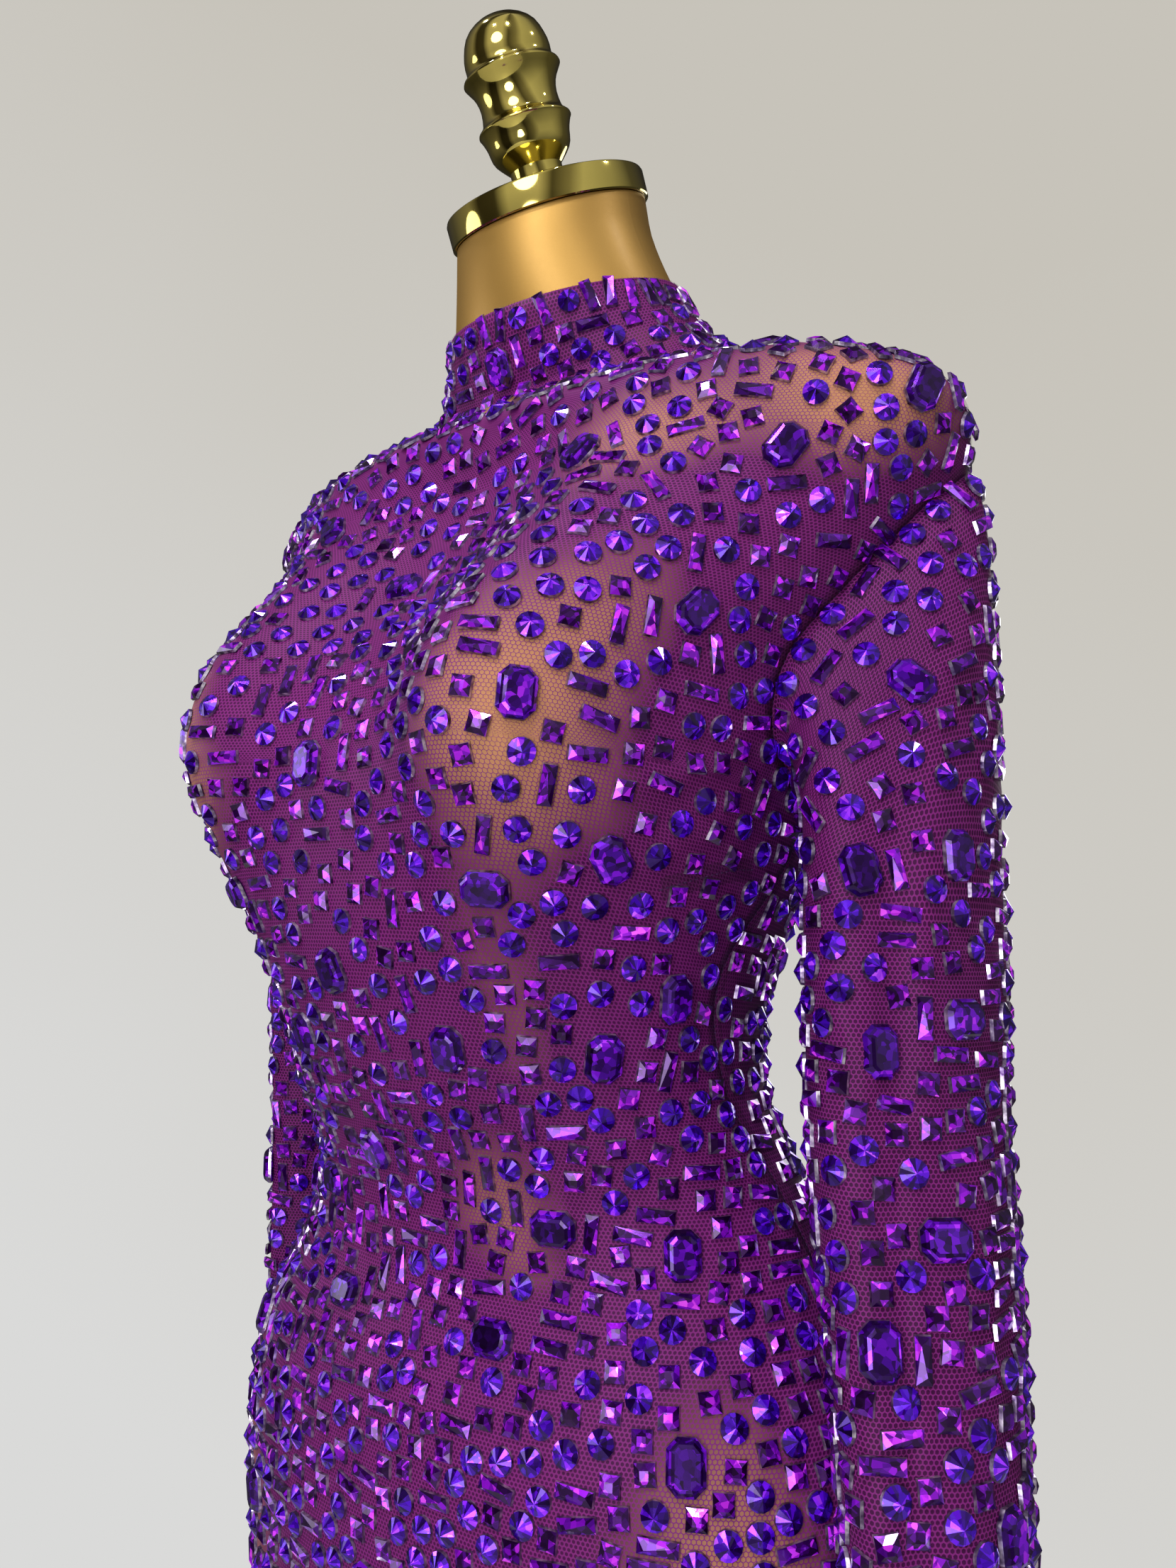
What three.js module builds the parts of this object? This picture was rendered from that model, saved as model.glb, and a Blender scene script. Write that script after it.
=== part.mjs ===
// Long sleeve party dress of stretch net on a limbless dress form.
// Millimetres, +Z up, origin on the floor under the pole, front towards -Y, the wearer's left at +X.
import * as THREE from 'three';

// Cloth
const WALL = 1.2; // net and its glue film
const EASE = 0.9; // from the form to the inside of the net
const SEAM_GAP = 0.3;

// Heights of the dress and the form
const HEM_Z = 570;
const FORM_BOTTOM_Z = 720;
const COLLAR_TOP_Z = 1452;
const NECK_TOP_Z = 1500;

// Neck seam: its height at the side, and how far it drops at the front and rises at the back
const NECK_SEAM = { side: 1402, frontDrop: 23, backRise: 3 };

// Levels of the rows of points, apart from those at the armhole
const SKIRT_LEVELS = [HEM_Z, 645, FORM_BOTTOM_Z, 785, 845, 900, 950, 990, 1027, 1065, 1105, 1145];
const SHOULDER_LEVELS = [1341, 1356];
const NECK_LEVELS = [1414, 1433, COLLAR_TOP_Z, 1476, NECK_TOP_Z];
const FRONT_COLUMNS = 24;
const BACK_COLUMNS = 18;

// Armhole, an oval on the side of the body: degrees round from the side, and heights
const ARMHOLE = { angle: 13, reach: 21, z: 1256, rise: 72, steps: 12 };
const SEAM_SHIFT_FROM_Z = 1090; // the side seam leans back to the armhole above this
const SHOULDER_SEAM_Z = 1356; // and the shoulder seam comes back to the side below this

// Outside of the form. half is across, front and back are depths from the section's own middle line,
// shift moves that line back, tilt in degrees lowers its front, square is the oval's exponent.
const SECTIONS = table(['z', 'half', 'front', 'back', 'shift', 'tilt', 'square'], [
  [570, 140, 84, 92, 12, 0, 2.3],
  [640, 143, 85, 93, 12, 0, 2.3],
  [720, 152, 88, 97, 14, 0, 2.3],
  [780, 167, 94, 108, 16, 0, 2.3],
  [830, 176, 98, 113, 18, 0, 2.3],
  [880, 178, 101, 107, 17, 0, 2.3],
  [930, 170, 100, 95, 16, 1, 2.2],
  [980, 147, 89, 83, 18, 2, 2.1],
  [1020, 130, 85, 83, 8, 1, 2.1],
  [1060, 118, 87, 105, -14, -2, 2.1],
  [1110, 120, 92, 130, -26, -5, 2.1],
  [1160, 135, 95, 130, -20, -6, 2.2],
  [1200, 143, 96, 118, -10, -5, 2.3],
  [1240, 155, 96, 104, 1, -3, 2.4],
  [1270, 173, 91, 93, 12, -3, 2.5],
  [1300, 193, 84, 85, 18, -3, 2.5],
  [1330, 208, 76, 79, 17, -3, 2.5],
  [1355, 210, 69, 72, 9, -1, 2.2],
  [1375, 173, 61, 64, 2, 4, 2.0],
  [1392, 108, 52, 58, 11, 9, 1.9],
  [1408, 97, 52, 57, 18, 13, 1.9],
  [1425, 78, 56, 57, 15, 16, 2.0],
  [1450, 64, 56, 56, 5, 19, 2.0],
  [1480, 54, 53, 53, -5, 21, 2.0],
  [NECK_TOP_Z, 52, 52, 52, -9, 26, 2.0],
]);
const BUST = { x: 98, z: 1203, width: 61, drop: 72, rise: 108, out: 64 };
const BRIDGE = { z: 1200, width: 42, height: 62, out: 16 }; // the net spans the hollow between the cups

// Sleeves: middle and half sizes of the hanging tube. out is away from the body's middle, back is +Y.
const SLEEVE_COLUMNS = ['z', 'out', 'back', 'half', 'deep'];
const LEFT_SLEEVE = table(SLEEVE_COLUMNS, [
  [780, 217, -16, 26, 40],
  [850, 215, -13, 27, 46],
  [920, 209, -7, 28, 51],
  [980, 201, 3, 31, 54],
  [1050, 190, 15, 34, 58],
  [1130, 184, 22, 34, 60],
]);
const RIGHT_SLEEVE = table(SLEEVE_COLUMNS, [
  [780, 216, 56, 26, 40],
  [850, 215, 55, 27, 46],
  [920, 211, 53, 28, 51],
  [980, 206, 50, 31, 54],
  [1050, 199, 45, 34, 58],
  [1130, 190, 36, 34, 60],
]);
const ARM_Z = 1130; // below the sleeve head
const HEAD_STEPS = [0, 0.1, 0.26, 0.48, 0.74];
const HEAD_SWELL = 52; // how strongly the head leaves square to the armhole
const HEAD_FALL = 0.9; // and how strongly it turns down into the tube, as a share of its length
const TUBE_STEPS = 9;

// Vertical folds of the empty sleeves: place round the tube (90 is outside, 180 front), depth and width
const FOLDS = table(['angle', 'depth', 'width', 'from', 'to'], [
  [150, 7, 20, 1190, 780],
  [62, 4, 18, 1120, 900],
  [300, 4, 18, 1060, 780],
]);

const FOLD_FADE = 70; // over which a fold begins and ends

// Large stones: octagons with a bevelled edge, raised in the walls
const STONE = { wide: 15, long: 20, corner: 4, tableCorner: 2.7, bevel: 3.3, high: 4.7 };

// Large stones at the front, as degrees round from the side, height and turn. Each has its mirror copy.
const FRONT_STONES = table(['angle', 'z', 'turn'], [
  [-45, 1200, 0],
  [-71, 1322, -30],
  [-40, 1318, -35],
  [-29, 1246, -40],
  [-52, 1132, 90],
  [-28, 1146, 40],
  [-68, 1074, 0],
  [-33, 1074, 0],
  [-60, 1008, 90],
  [-35, 1000, 0],
  [-42, 930, 0],
  [-74, 962, 90],
  [-12, 1098, 10],
  [-14, 1346, -20],
]);
const MIDDLE_STONES = table(['angle', 'z', 'turn'], [
  [-94, 1182, 0],
  [-92, 1276, 90],
  [-94, 1100, 15],
  [-98, 1030, 0],
]);
const LOWER_STONES = { levels: [852, 700], columns: 4, from: -164, step: 36, turn: 12 };
const BACK_STONES = {
  levels: [1316, 1226, 1124, 1010, 890, 752], columns: 3, from: 42, step: 36, turn: 12,
};
const SLEEVE_STONES = table(['angle', 'z', 'turn'], [
  [158, 1084, 0],
  [112, 1096, 90],
  [128, 1020, 90],
  [170, 985, 0],
  [100, 925, 0],
  [150, 860, 90],
  [330, 1010, 0],
  [15, 900, 0],
]);
const COLLAR_STONES = table(['angle', 'z', 'turn'], [
  [-92, 1424, 0],
  [88, 1424, 0],
]);

// Stand
const CAP = { radius: 54, height: 14, edge: 1.5 };
const FINIAL = {
  neck: 14,
  bulb: [[14, 15], [17, 18], [21, 23], [22.5, 30], [25, 36]],
  waist: [[25, 36], [21.8, 40], [20.6, 48], [22, 55], [26, 61.5]],
  dome: [[26, 61.5], [23, 65], [22.6, 73], [18.5, 83], [9.5, 89], [0, 90]],
  sides: 20,
}; // each curve as radius and height
const POLE_RADIUS = 14;
const BASE = {
  radius: 160, rim: 7, edge: 3, hubRadius: 35, hubZ: 14,
  socketRadius: 23, socketZ: 20, socketTop: 48, bevel: 2,
};
const ROUND_SIDES = 32;

const CELL_MARGIN = 0.05; // least share of a cell between a stone's foot and the block it stands on

const Z_AXIS = new THREE.Vector3(0, 0, 1);
const radians = THREE.MathUtils.degToRad;

function table(names, rows) {
  return rows.map((row) => Object.fromEntries(names.map((name, i) => [name, row[i]])));
}

// Smooth curve through one column of a table whose heights rise, as a cubic with three-point slopes.
function column(rows, name, z) {
  const above = rows.findIndex((row) => row.z > z);
  const i = above < 0 ? rows.length - 2 : Math.max(above - 1, 0);
  const slope = (k) => {
    const low = rows[Math.max(k - 1, 0)];
    const high = rows[Math.min(k + 1, rows.length - 1)];
    return (high[name] - low[name]) / (high.z - low.z);
  };
  const span = rows[i + 1].z - rows[i].z;
  const t = Math.min(Math.max((z - rows[i].z) / span, 0), 1);
  return hermite(rows[i][name], slope(i) * span, rows[i + 1][name], slope(i + 1) * span, t);
}

function hermite(start, startSlope, end, endSlope, t) {
  const rest = 1 - t;
  return start * (1 + 2 * t) * rest * rest + startSlope * t * rest * rest
    + end * t * t * (3 - 2 * t) - endSlope * t * t * rest;
}

const bump = (distance, width) => Math.exp(-((distance / width) ** 2));
const ease = (t) => THREE.MathUtils.smoothstep(t, 0, 1);
const signedPower = (value, power) => Math.sign(value) * Math.abs(value) ** power;

// A point of the form's surface, or of the net's where it bridges the cups.
// The angle is in degrees, 0 at +X.
function bodyPoint(angle, z, bridged) {
  const at = (name) => column(SECTIONS, name, z);
  const across = Math.cos(radians(angle));
  const along = Math.sin(radians(angle));
  const power = 2 / at('square');
  const x = at('half') * signedPower(across, power);
  const forward = Math.max(-along, 0);
  const tall = z > BUST.z ? BUST.rise : BUST.drop;
  const cups = (bump(x - BUST.x, BUST.width) + bump(x + BUST.x, BUST.width)) * bump(z - BUST.z, tall);
  const span = bridged ? BRIDGE.out * bump(x, BRIDGE.width) * bump(z - BRIDGE.z, BRIDGE.height) : 0;
  const depth = along < 0 ? at('front') : at('back');
  const y = depth * signedPower(along, power) - (BUST.out * cups + span) * Math.sqrt(forward);
  const tilt = radians(at('tilt'));
  return new THREE.Vector3(x, at('shift') + y * Math.cos(tilt), z + y * Math.sin(tilt));
}

function bodyNormal(angle, z, bridged) {
  const step = 0.5;
  const round = bodyPoint(angle + step, z, bridged).sub(bodyPoint(angle - step, z, bridged));
  const up = bodyPoint(angle, z + step, bridged).sub(bodyPoint(angle, z - step, bridged));
  return round.cross(up).normalize();
}

function netPoint(angle, z, out) {
  return bodyPoint(angle, z, true).addScaledVector(bodyNormal(angle, z, true), out);
}

// Armhole point for a step round the oval: 0 back, a quarter top, a half front.
function armholeAt(turn) {
  return {
    angle: ARMHOLE.angle + ARMHOLE.reach * Math.cos(radians(turn)),
    z: ARMHOLE.z + ARMHOLE.rise * Math.sin(radians(turn)),
  };
}

// How far the front's and the back's edges stand from the seam line at a height, in degrees.
function armholeReach(z) {
  const share = (z - ARMHOLE.z) / ARMHOLE.rise;
  return ARMHOLE.reach * Math.sqrt(Math.max(1 - share * share, 0));
}

function seamAngle(z) {
  const armholeBottom = ARMHOLE.z - ARMHOLE.rise;
  const armholeTop = ARMHOLE.z + ARMHOLE.rise;
  const rising = ease((z - SEAM_SHIFT_FROM_Z) / (armholeBottom - SEAM_SHIFT_FROM_Z));
  const falling = ease((z - armholeTop) / (SHOULDER_SEAM_Z - armholeTop));
  return ARMHOLE.angle * (rising - falling);
}

function neckSeamZ(angle) {
  const along = Math.sin(radians(angle));
  const change = along < 0 ? -NECK_SEAM.frontDrop : NECK_SEAM.backRise;
  return NECK_SEAM.side + change * along * along;
}

function armholeLevels() {
  const levels = [];
  for (let k = 0; k <= ARMHOLE.steps; k += 1) {
    levels.push(ARMHOLE.z - ARMHOLE.rise * Math.cos(Math.PI * k / ARMHOLE.steps));
  }
  return levels;
}

// Rows of a panel, each a height that may follow the neck seam.
function panelRows() {
  const level = (z) => () => z;
  const lastShoulder = SHOULDER_LEVELS[SHOULDER_LEVELS.length - 1];
  const towardsNeck = (share) => (angle) => lastShoulder + share * (neckSeamZ(angle) - lastShoulder);
  return [
    ...SKIRT_LEVELS.map(level),
    ...armholeLevels().map(level),
    ...SHOULDER_LEVELS.map(level),
    ...[0.35, 0.7, 1].map(towardsNeck),
  ];
}

// Places round the body, in degrees, of one row of the front or the back, at the wearer's right first.
function panelAngles(side, z) {
  const middle = seamAngle(z);
  const reach = armholeReach(z);
  const first = side === 'front' ? -180 - (middle - reach) : middle + reach;
  const last = side === 'front' ? middle - reach : 180 - (middle + reach);
  const count = side === 'front' ? FRONT_COLUMNS : BACK_COLUMNS;
  return Array.from({ length: count + 1 }, (_, i) => first + (last - first) * i / count);
}

// Degrees round, or height, that move a point of the body by a given distance.
function degreesFor(distance, angle, z) {
  return distance / bodyPoint(angle + 0.5, z, true).distanceTo(bodyPoint(angle - 0.5, z, true));
}

function heightFor(distance, angle, z) {
  return distance / bodyPoint(angle, z + 0.5, true).distanceTo(bodyPoint(angle, z - 0.5, true));
}

// Closed wall between an outer and an inner grid of points, with large stones raised in its outer side.
class Wall {
  constructor(outer, inner, closed) {
    this.outer = outer;
    this.rows = outer.length - 1;
    this.closed = closed;
    this.columns = closed ? outer[0].length : outer[0].length - 1;
    this.points = [];
    this.faces = [];
    this.taken = new Set();
    const number = (grid) => grid.map((row) => row.map((point) => this.add(point)));
    this.out = number(outer);
    this.in = number(inner);
  }

  add(point) {
    return this.points.push(point) - 1;
  }

  wrap(c) {
    return this.closed ? (c + this.columns) % this.columns : c;
  }

  quad(a, b, c, d) {
    this.faces.push([a, b, c], [a, c, d]);
  }

  // Outer surface at a place given in rows and columns, between the four points round it.
  at(row, column) {
    const r = Math.min(Math.floor(row), this.rows - 1);
    const c = this.closed ? Math.floor(column) : Math.min(Math.floor(column), this.columns - 1);
    const corner = (i, k) => this.outer[i][this.wrap(k)];
    const low = corner(r, c).clone().lerp(corner(r, c + 1), column - c);
    const high = corner(r + 1, c).clone().lerp(corner(r + 1, c + 1), column - c);
    return low.lerp(high, row - r);
  }

  addStone(row, column, turn) {
    const middle = this.at(row, column);
    const step = 0.5;
    const across = this.at(row, column + step).sub(this.at(row, column - step)).divideScalar(2 * step);
    const up = this.at(row + step, column).sub(this.at(row - step, column)).divideScalar(2 * step);
    const normal = across.clone().cross(up).normalize();
    const side = across.clone().normalize();
    const top = normal.clone().cross(side);
    const slant = up.dot(side) / up.dot(top);
    const place = (x, y) => [row + y / up.dot(top), column + (x - y * slant) / across.length()];
    const foot = octagon(STONE.wide / 2, STONE.long / 2, STONE.corner, turn);
    const { bevel } = STONE;
    const table = octagon(STONE.wide / 2 - bevel, STONE.long / 2 - bevel, STONE.tableCorner, turn);
    const spots = foot.map(([x, y]) => place(x, y));
    const rows = spots.map(([r]) => r);
    const columns = spots.map(([, c]) => c);
    const block = {
      bottom: Math.floor(Math.min(...rows) - CELL_MARGIN),
      top: Math.ceil(Math.max(...rows) + CELL_MARGIN),
      left: Math.floor(Math.min(...columns) - CELL_MARGIN),
      right: Math.ceil(Math.max(...columns) + CELL_MARGIN),
    };
    this.take(block);
    const flat = (point) => {
      const from = point.clone().sub(middle);
      return Math.atan2(from.dot(top), from.dot(side));
    };
    const rim = blockRim(block).map(([r, c]) => this.out[r][this.wrap(c)]);
    const base = spots.map(([r, c]) => this.add(this.at(r, c)));
    const face = table.map(([x, y]) => this.add(middle.clone()
      .addScaledVector(side, x).addScaledVector(top, y).addScaledVector(normal, STONE.high)));
    this.stitch(rim, base, flat);
    base.forEach((id, i) => {
      const next = (i + 1) % base.length;
      this.quad(id, base[next], face[next], face[i]);
    });
    for (let i = 1; i < face.length - 1; i += 1) this.faces.push([face[0], face[i], face[i + 1]]);
  }

  // Marks the cells under a stone, which must be whole and free.
  take(block) {
    const inside = block.bottom >= 0 && block.top <= this.rows
      && (this.closed || (block.left >= 0 && block.right <= this.columns));
    if (!inside) throw new Error(`stone past the edge: ${JSON.stringify(block)}`);
    for (let r = block.bottom; r < block.top; r += 1) {
      for (let c = block.left; c < block.right; c += 1) {
        const cell = `${r},${this.wrap(c)}`;
        if (this.taken.has(cell)) throw new Error(`two stones share a cell: ${JSON.stringify(block)}`);
        this.taken.add(cell);
      }
    }
  }

  // Fills the ring between a block's rim and a stone's base, going round by angle.
  stitch(rim, base, flat) {
    const turnOf = (id) => flat(this.points[id]);
    const start = base.map(turnOf).reduce((best, angle, i, all) => (angle < all[best] ? i : best), 0);
    const unwind = (ids, from) => {
      const ordered = ids.map((_, i) => ids[(i + from) % ids.length]);
      let last = turnOf(ordered[0]);
      return [...ordered, ordered[0]].map((id, i) => {
        let angle = turnOf(id);
        while (i > 0 && angle < last - 1e-9) angle += 2 * Math.PI;
        if (i === ids.length) angle = turnOf(id) + 2 * Math.PI;
        last = angle;
        return { id, angle };
      });
    };
    const firstRim = rim.map(turnOf).reduce((best, angle, i, all) => (angle < all[best] ? i : best), 0);
    const outerRing = unwind(rim, firstRim);
    const innerRing = unwind(base, start);
    let i = 0;
    let k = 0;
    while (i < rim.length || k < base.length) {
      const outerNext = i < rim.length ? outerRing[i + 1].angle : Infinity;
      const innerNext = k < base.length ? innerRing[k + 1].angle : Infinity;
      if (outerNext <= innerNext) {
        this.faces.push([outerRing[i].id, outerRing[i + 1].id, innerRing[k].id]);
        i += 1;
      } else {
        this.faces.push([outerRing[i].id, innerRing[k + 1].id, innerRing[k].id]);
        k += 1;
      }
    }
  }

  geometry() {
    for (let r = 0; r < this.rows; r += 1) {
      for (let c = 0; c < this.columns; c += 1) {
        const next = this.wrap(c + 1);
        const corners = (grid) => [grid[r][c], grid[r][next], grid[r + 1][next], grid[r + 1][c]];
        if (!this.taken.has(`${r},${c}`)) this.quad(...corners(this.out));
        const [low, beside, across, above] = corners(this.in);
        this.quad(low, above, across, beside);
      }
    }
    for (let c = 0; c < this.columns; c += 1) {
      const next = this.wrap(c + 1);
      this.quad(this.out[0][next], this.out[0][c], this.in[0][c], this.in[0][next]);
      const top = this.rows;
      this.quad(this.out[top][next], this.in[top][next], this.in[top][c], this.out[top][c]);
    }
    for (let r = 0; r < this.rows && !this.closed; r += 1) {
      const end = this.columns;
      this.quad(this.out[r + 1][0], this.in[r + 1][0], this.in[r][0], this.out[r][0]);
      this.quad(this.out[r + 1][end], this.out[r][end], this.in[r][end], this.in[r + 1][end]);
    }
    return indexed(this.points, this.faces);
  }
}

// Corners of an octagon with cut corners, anticlockwise, turned by degrees.
function octagon(halfWide, halfLong, corner, turn) {
  const cos = Math.cos(radians(turn));
  const sin = Math.sin(radians(turn));
  const points = [];
  for (const [sx, sy] of [[1, 1], [-1, 1], [-1, -1], [1, -1]]) {
    const beside = [sx * halfWide, sy * (halfLong - corner)];
    const above = [sx * (halfWide - corner), sy * halfLong];
    points.push(...(sx * sy > 0 ? [beside, above] : [above, beside]));
  }
  return points.map(([x, y]) => [x * cos - y * sin, x * sin + y * cos]);
}

// Grid points round a block of cells, anticlockwise seen from outside.
function blockRim({ bottom, top, left, right }) {
  const rim = [];
  for (let c = left; c < right; c += 1) rim.push([bottom, c]);
  for (let r = bottom; r < top; r += 1) rim.push([r, right]);
  for (let c = right; c > left; c -= 1) rim.push([top, c]);
  for (let r = top; r > bottom; r -= 1) rim.push([r, left]);
  return rim;
}

function indexed(points, faces) {
  const geometry = new THREE.BufferGeometry().setFromPoints(points);
  geometry.setIndex(faces.flat());
  geometry.computeVertexNormals();
  return geometry;
}

// Fractional row of a height, in a list of rising or falling levels.
function rowAt(levels, z) {
  const sign = Math.sign(levels[levels.length - 1] - levels[0]);
  const i = Math.max(levels.findIndex((level) => sign * (level - z) > 0) - 1, 0);
  return i + (z - levels[i]) / (levels[i + 1] - levels[i]);
}

function panelWall(side) {
  const count = side === 'front' ? FRONT_COLUMNS : BACK_COLUMNS;
  const rows = panelRows();
  const grid = (out) => rows.map((rowZ, r) => {
    const nominal = rowZ(0);
    return panelAngles(side, nominal).map((angle, c) => {
      let z = rowZ(angle);
      let turn = angle;
      if (c === 0) turn += degreesFor(SEAM_GAP / 2, angle, z);
      if (c === count) turn -= degreesFor(SEAM_GAP / 2, angle, z);
      if (r === rows.length - 1) z -= heightFor(SEAM_GAP / 2, angle, z);
      return netPoint(turn, z, out);
    });
  });
  return new Wall(grid(EASE + WALL), grid(EASE), false);
}

function panelGeometry(side, stones) {
  const wall = panelWall(side);
  const levels = panelRows().map((rowZ) => rowZ(0));
  for (const { angle, z, turn } of stones) {
    const angles = panelAngles(side, z);
    const first = angles[0];
    const last = angles[angles.length - 1];
    wall.addStone(rowAt(levels, z), (angle - first) / (last - first) * (angles.length - 1), turn);
  }
  return wall.geometry();
}

const mirrored = ({ angle, z, turn }) => ({ angle: -180 - angle, z, turn: -turn });

// Large stones in staggered rows, on the plain stretches.
function staggered({ levels, columns, from, step, turn }) {
  return levels.flatMap((z, r) => Array.from({ length: columns }, (_, i) => ({
    angle: from + step * (i + (r % 2) / 2),
    z,
    turn: (i + r) % 2 ? turn : 90 - turn,
  })));
}

function collarGeometry() {
  const angles = [...panelAngles('front', COLLAR_TOP_Z), ...panelAngles('back', COLLAR_TOP_Z).slice(1, -1)];
  const upper = NECK_LEVELS.filter((z) => z <= COLLAR_TOP_Z);
  const rows = [neckSeamZ, ...upper.map((z) => () => z)];
  const grid = (out) => rows.map((rowZ, r) => angles.map((angle) => {
    const z = rowZ(angle) + (r === 0 ? heightFor(SEAM_GAP / 2, angle, rowZ(angle)) : 0);
    return netPoint(angle, z, out);
  }));
  const wall = new Wall(grid(EASE + WALL), grid(EASE), true);
  const levels = [NECK_SEAM.side, ...upper];
  for (const { angle, z, turn } of COLLAR_STONES) {
    const place = angle < 0 ? (angle + 180) * FRONT_COLUMNS : 180 * FRONT_COLUMNS + angle * BACK_COLUMNS;
    wall.addStone(rowAt(levels, z), place / 180, turn);
  }
  return wall.geometry();
}

// The hanging tube of the wearer's left sleeve, or the right one's before it is mirrored.
function tubePoint(path, turn, z) {
  const at = (name) => column(path, name, z);
  const folded = FOLDS.reduce((sum, fold) => {
    const away = THREE.MathUtils.euclideanModulo(turn - fold.angle + 180, 360) - 180;
    const fade = ease((fold.from - z) / FOLD_FADE) * ease((z - fold.to + FOLD_FADE) / FOLD_FADE);
    return sum + fold.depth * bump(away, fold.width) * fade;
  }, 0);
  const out = Math.sin(radians(turn));
  const back = Math.cos(radians(turn));
  return new THREE.Vector3(
    at('out') + (at('half') - folded) * out,
    at('back') + (at('deep') - folded) * back,
    z,
  );
}

// One line of the sleeve head, from the armhole to the top of the tube.
function headPoint(root, normal, foot, t) {
  const length = root.distanceTo(foot);
  const start = normal.clone().multiplyScalar(HEAD_SWELL);
  const end = Z_AXIS.clone().multiplyScalar(-HEAD_FALL * length);
  const mix = (axis) => hermite(root[axis], start[axis], foot[axis], end[axis], t);
  return new THREE.Vector3(mix('x'), mix('y'), mix('z'));
}

function sleeveWall(path) {
  const count = 2 * ARMHOLE.steps;
  const turns = Array.from({ length: count }, (_, i) => 360 * i / count);
  const roots = turns.map((turn) => {
    const { angle, z } = armholeAt(turn);
    const point = netPoint(angle, z, EASE + WALL + SEAM_GAP);
    return { point, normal: bodyNormal(angle, z, true) };
  });
  const centre = roots.reduce((sum, root) => sum.add(root.point), new THREE.Vector3()).divideScalar(count);
  const outerRoots = roots.map(({ point, normal }) => {
    const inward = centre.clone().sub(point);
    inward.addScaledVector(normal, -inward.dot(normal)).normalize();
    return point.clone().addScaledVector(inward, -WALL);
  });
  const levels = sleeveLevels(path);
  const outer = [
    ...HEAD_STEPS.map((t) => turns.map((turn, i) => (
      headPoint(outerRoots[i], roots[i].normal, tubePoint(path, turn, ARM_Z), t)))),
    ...levels.map((z) => turns.map((turn) => tubePoint(path, turn, z))),
  ];
  const inner = outer.map((row, r) => row.map((point, c) => {
    if (r === 0) return roots[c].point;
    const right = outer[r][(c + 1) % count];
    const left = outer[r][(c + count - 1) % count];
    const below = outer[Math.min(r + 1, outer.length - 1)][c];
    const normal = right.clone().sub(left).cross(below.clone().sub(outer[r - 1][c])).normalize();
    return point.clone().addScaledVector(normal, -WALL);
  }));
  return new Wall(outer, inner, true);
}

function sleeveLevels(path) {
  const cuff = path[0].z;
  return Array.from({ length: TUBE_STEPS + 1 }, (_, i) => ARM_Z + (cuff - ARM_Z) * i / TUBE_STEPS);
}

function sleeveGeometry(path, mirror) {
  const wall = sleeveWall(path);
  const levels = sleeveLevels(path);
  for (const { angle, z, turn } of SLEEVE_STONES) {
    wall.addStone(HEAD_STEPS.length + rowAt(levels, z), angle / 360 * wall.columns, turn);
  }
  if (mirror) {
    wall.points.forEach((point) => point.setX(-point.x));
    const geometry = wall.geometry();
    const index = geometry.getIndex().array;
    for (let i = 0; i < index.length; i += 3) [index[i], index[i + 1]] = [index[i + 1], index[i]];
    geometry.computeVertexNormals();
    return geometry;
  }
  return wall.geometry();
}

// The torso of the form, closed flat at its bottom and at the top of its neck. It has the panels' own
// places round the body, with a flat plate across each armhole.
function formGeometry() {
  const level = (z) => () => z;
  const rows = [
    ...panelRows().filter((rowZ) => rowZ(0) >= FORM_BOTTOM_Z),
    ...NECK_LEVELS.map(level),
  ];
  const points = [];
  const known = new Map();
  const number = (point) => {
    const key = point.toArray().map((value) => value.toFixed(2)).join();
    if (!known.has(key)) known.set(key, points.push(point) - 1);
    return known.get(key);
  };
  const grid = rows.map((rowZ) => {
    const nominal = rowZ(0);
    const angles = [...panelAngles('front', nominal), ...panelAngles('back', nominal)];
    return angles.map((angle) => number(bodyPoint(angle, rowZ(angle), false)));
  });
  const faces = [];
  const face = (a, b, c) => {
    if (a !== b && b !== c && c !== a) faces.push([a, b, c]);
  };
  const around = grid[0].length;
  for (let r = 0; r < grid.length - 1; r += 1) {
    for (let c = 0; c < around; c += 1) {
      const next = (c + 1) % around;
      face(grid[r][c], grid[r][next], grid[r + 1][next]);
      face(grid[r][c], grid[r + 1][next], grid[r + 1][c]);
    }
  }
  const middleOf = (z) => new THREE.Vector3(0, column(SECTIONS, 'shift', z), z);
  const bottom = number(middleOf(FORM_BOTTOM_Z));
  const top = number(middleOf(NECK_TOP_Z));
  const last = grid[grid.length - 1];
  for (let c = 0; c < around; c += 1) {
    const next = (c + 1) % around;
    face(bottom, grid[0][next], grid[0][c]);
    face(top, last[c], last[next]);
  }
  return indexed(points, faces);
}

// A turned solid standing on its own origin along +Z.
function turned(profile, sides = ROUND_SIDES) {
  const points = profile.map(([radius, height]) => new THREE.Vector2(radius, height));
  return new THREE.LatheGeometry(points, sides).rotateX(Math.PI / 2);
}

function capGeometry() {
  const { radius, height, edge } = CAP;
  return turned([[0, 0], [radius, 0], [radius, height - edge], [radius - edge, height], [0, height]]);
}

// Turned knob: a neck, a bulb under a ridge, a waist up to a second ridge, and a dome.
function finialGeometry() {
  const smooth = (points, steps) => new THREE.SplineCurve(points.map(([r, h]) => new THREE.Vector2(r, h)))
    .getPoints(steps).map(({ x, y }) => [x, y]);
  const bulb = smooth(FINIAL.bulb, 6);
  const waist = smooth(FINIAL.waist, 6).slice(1);
  const dome = smooth(FINIAL.dome, 8).slice(1);
  return turned([[0, 0], [FINIAL.neck, 0], ...bulb, ...waist, ...dome], FINIAL.sides);
}

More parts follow.
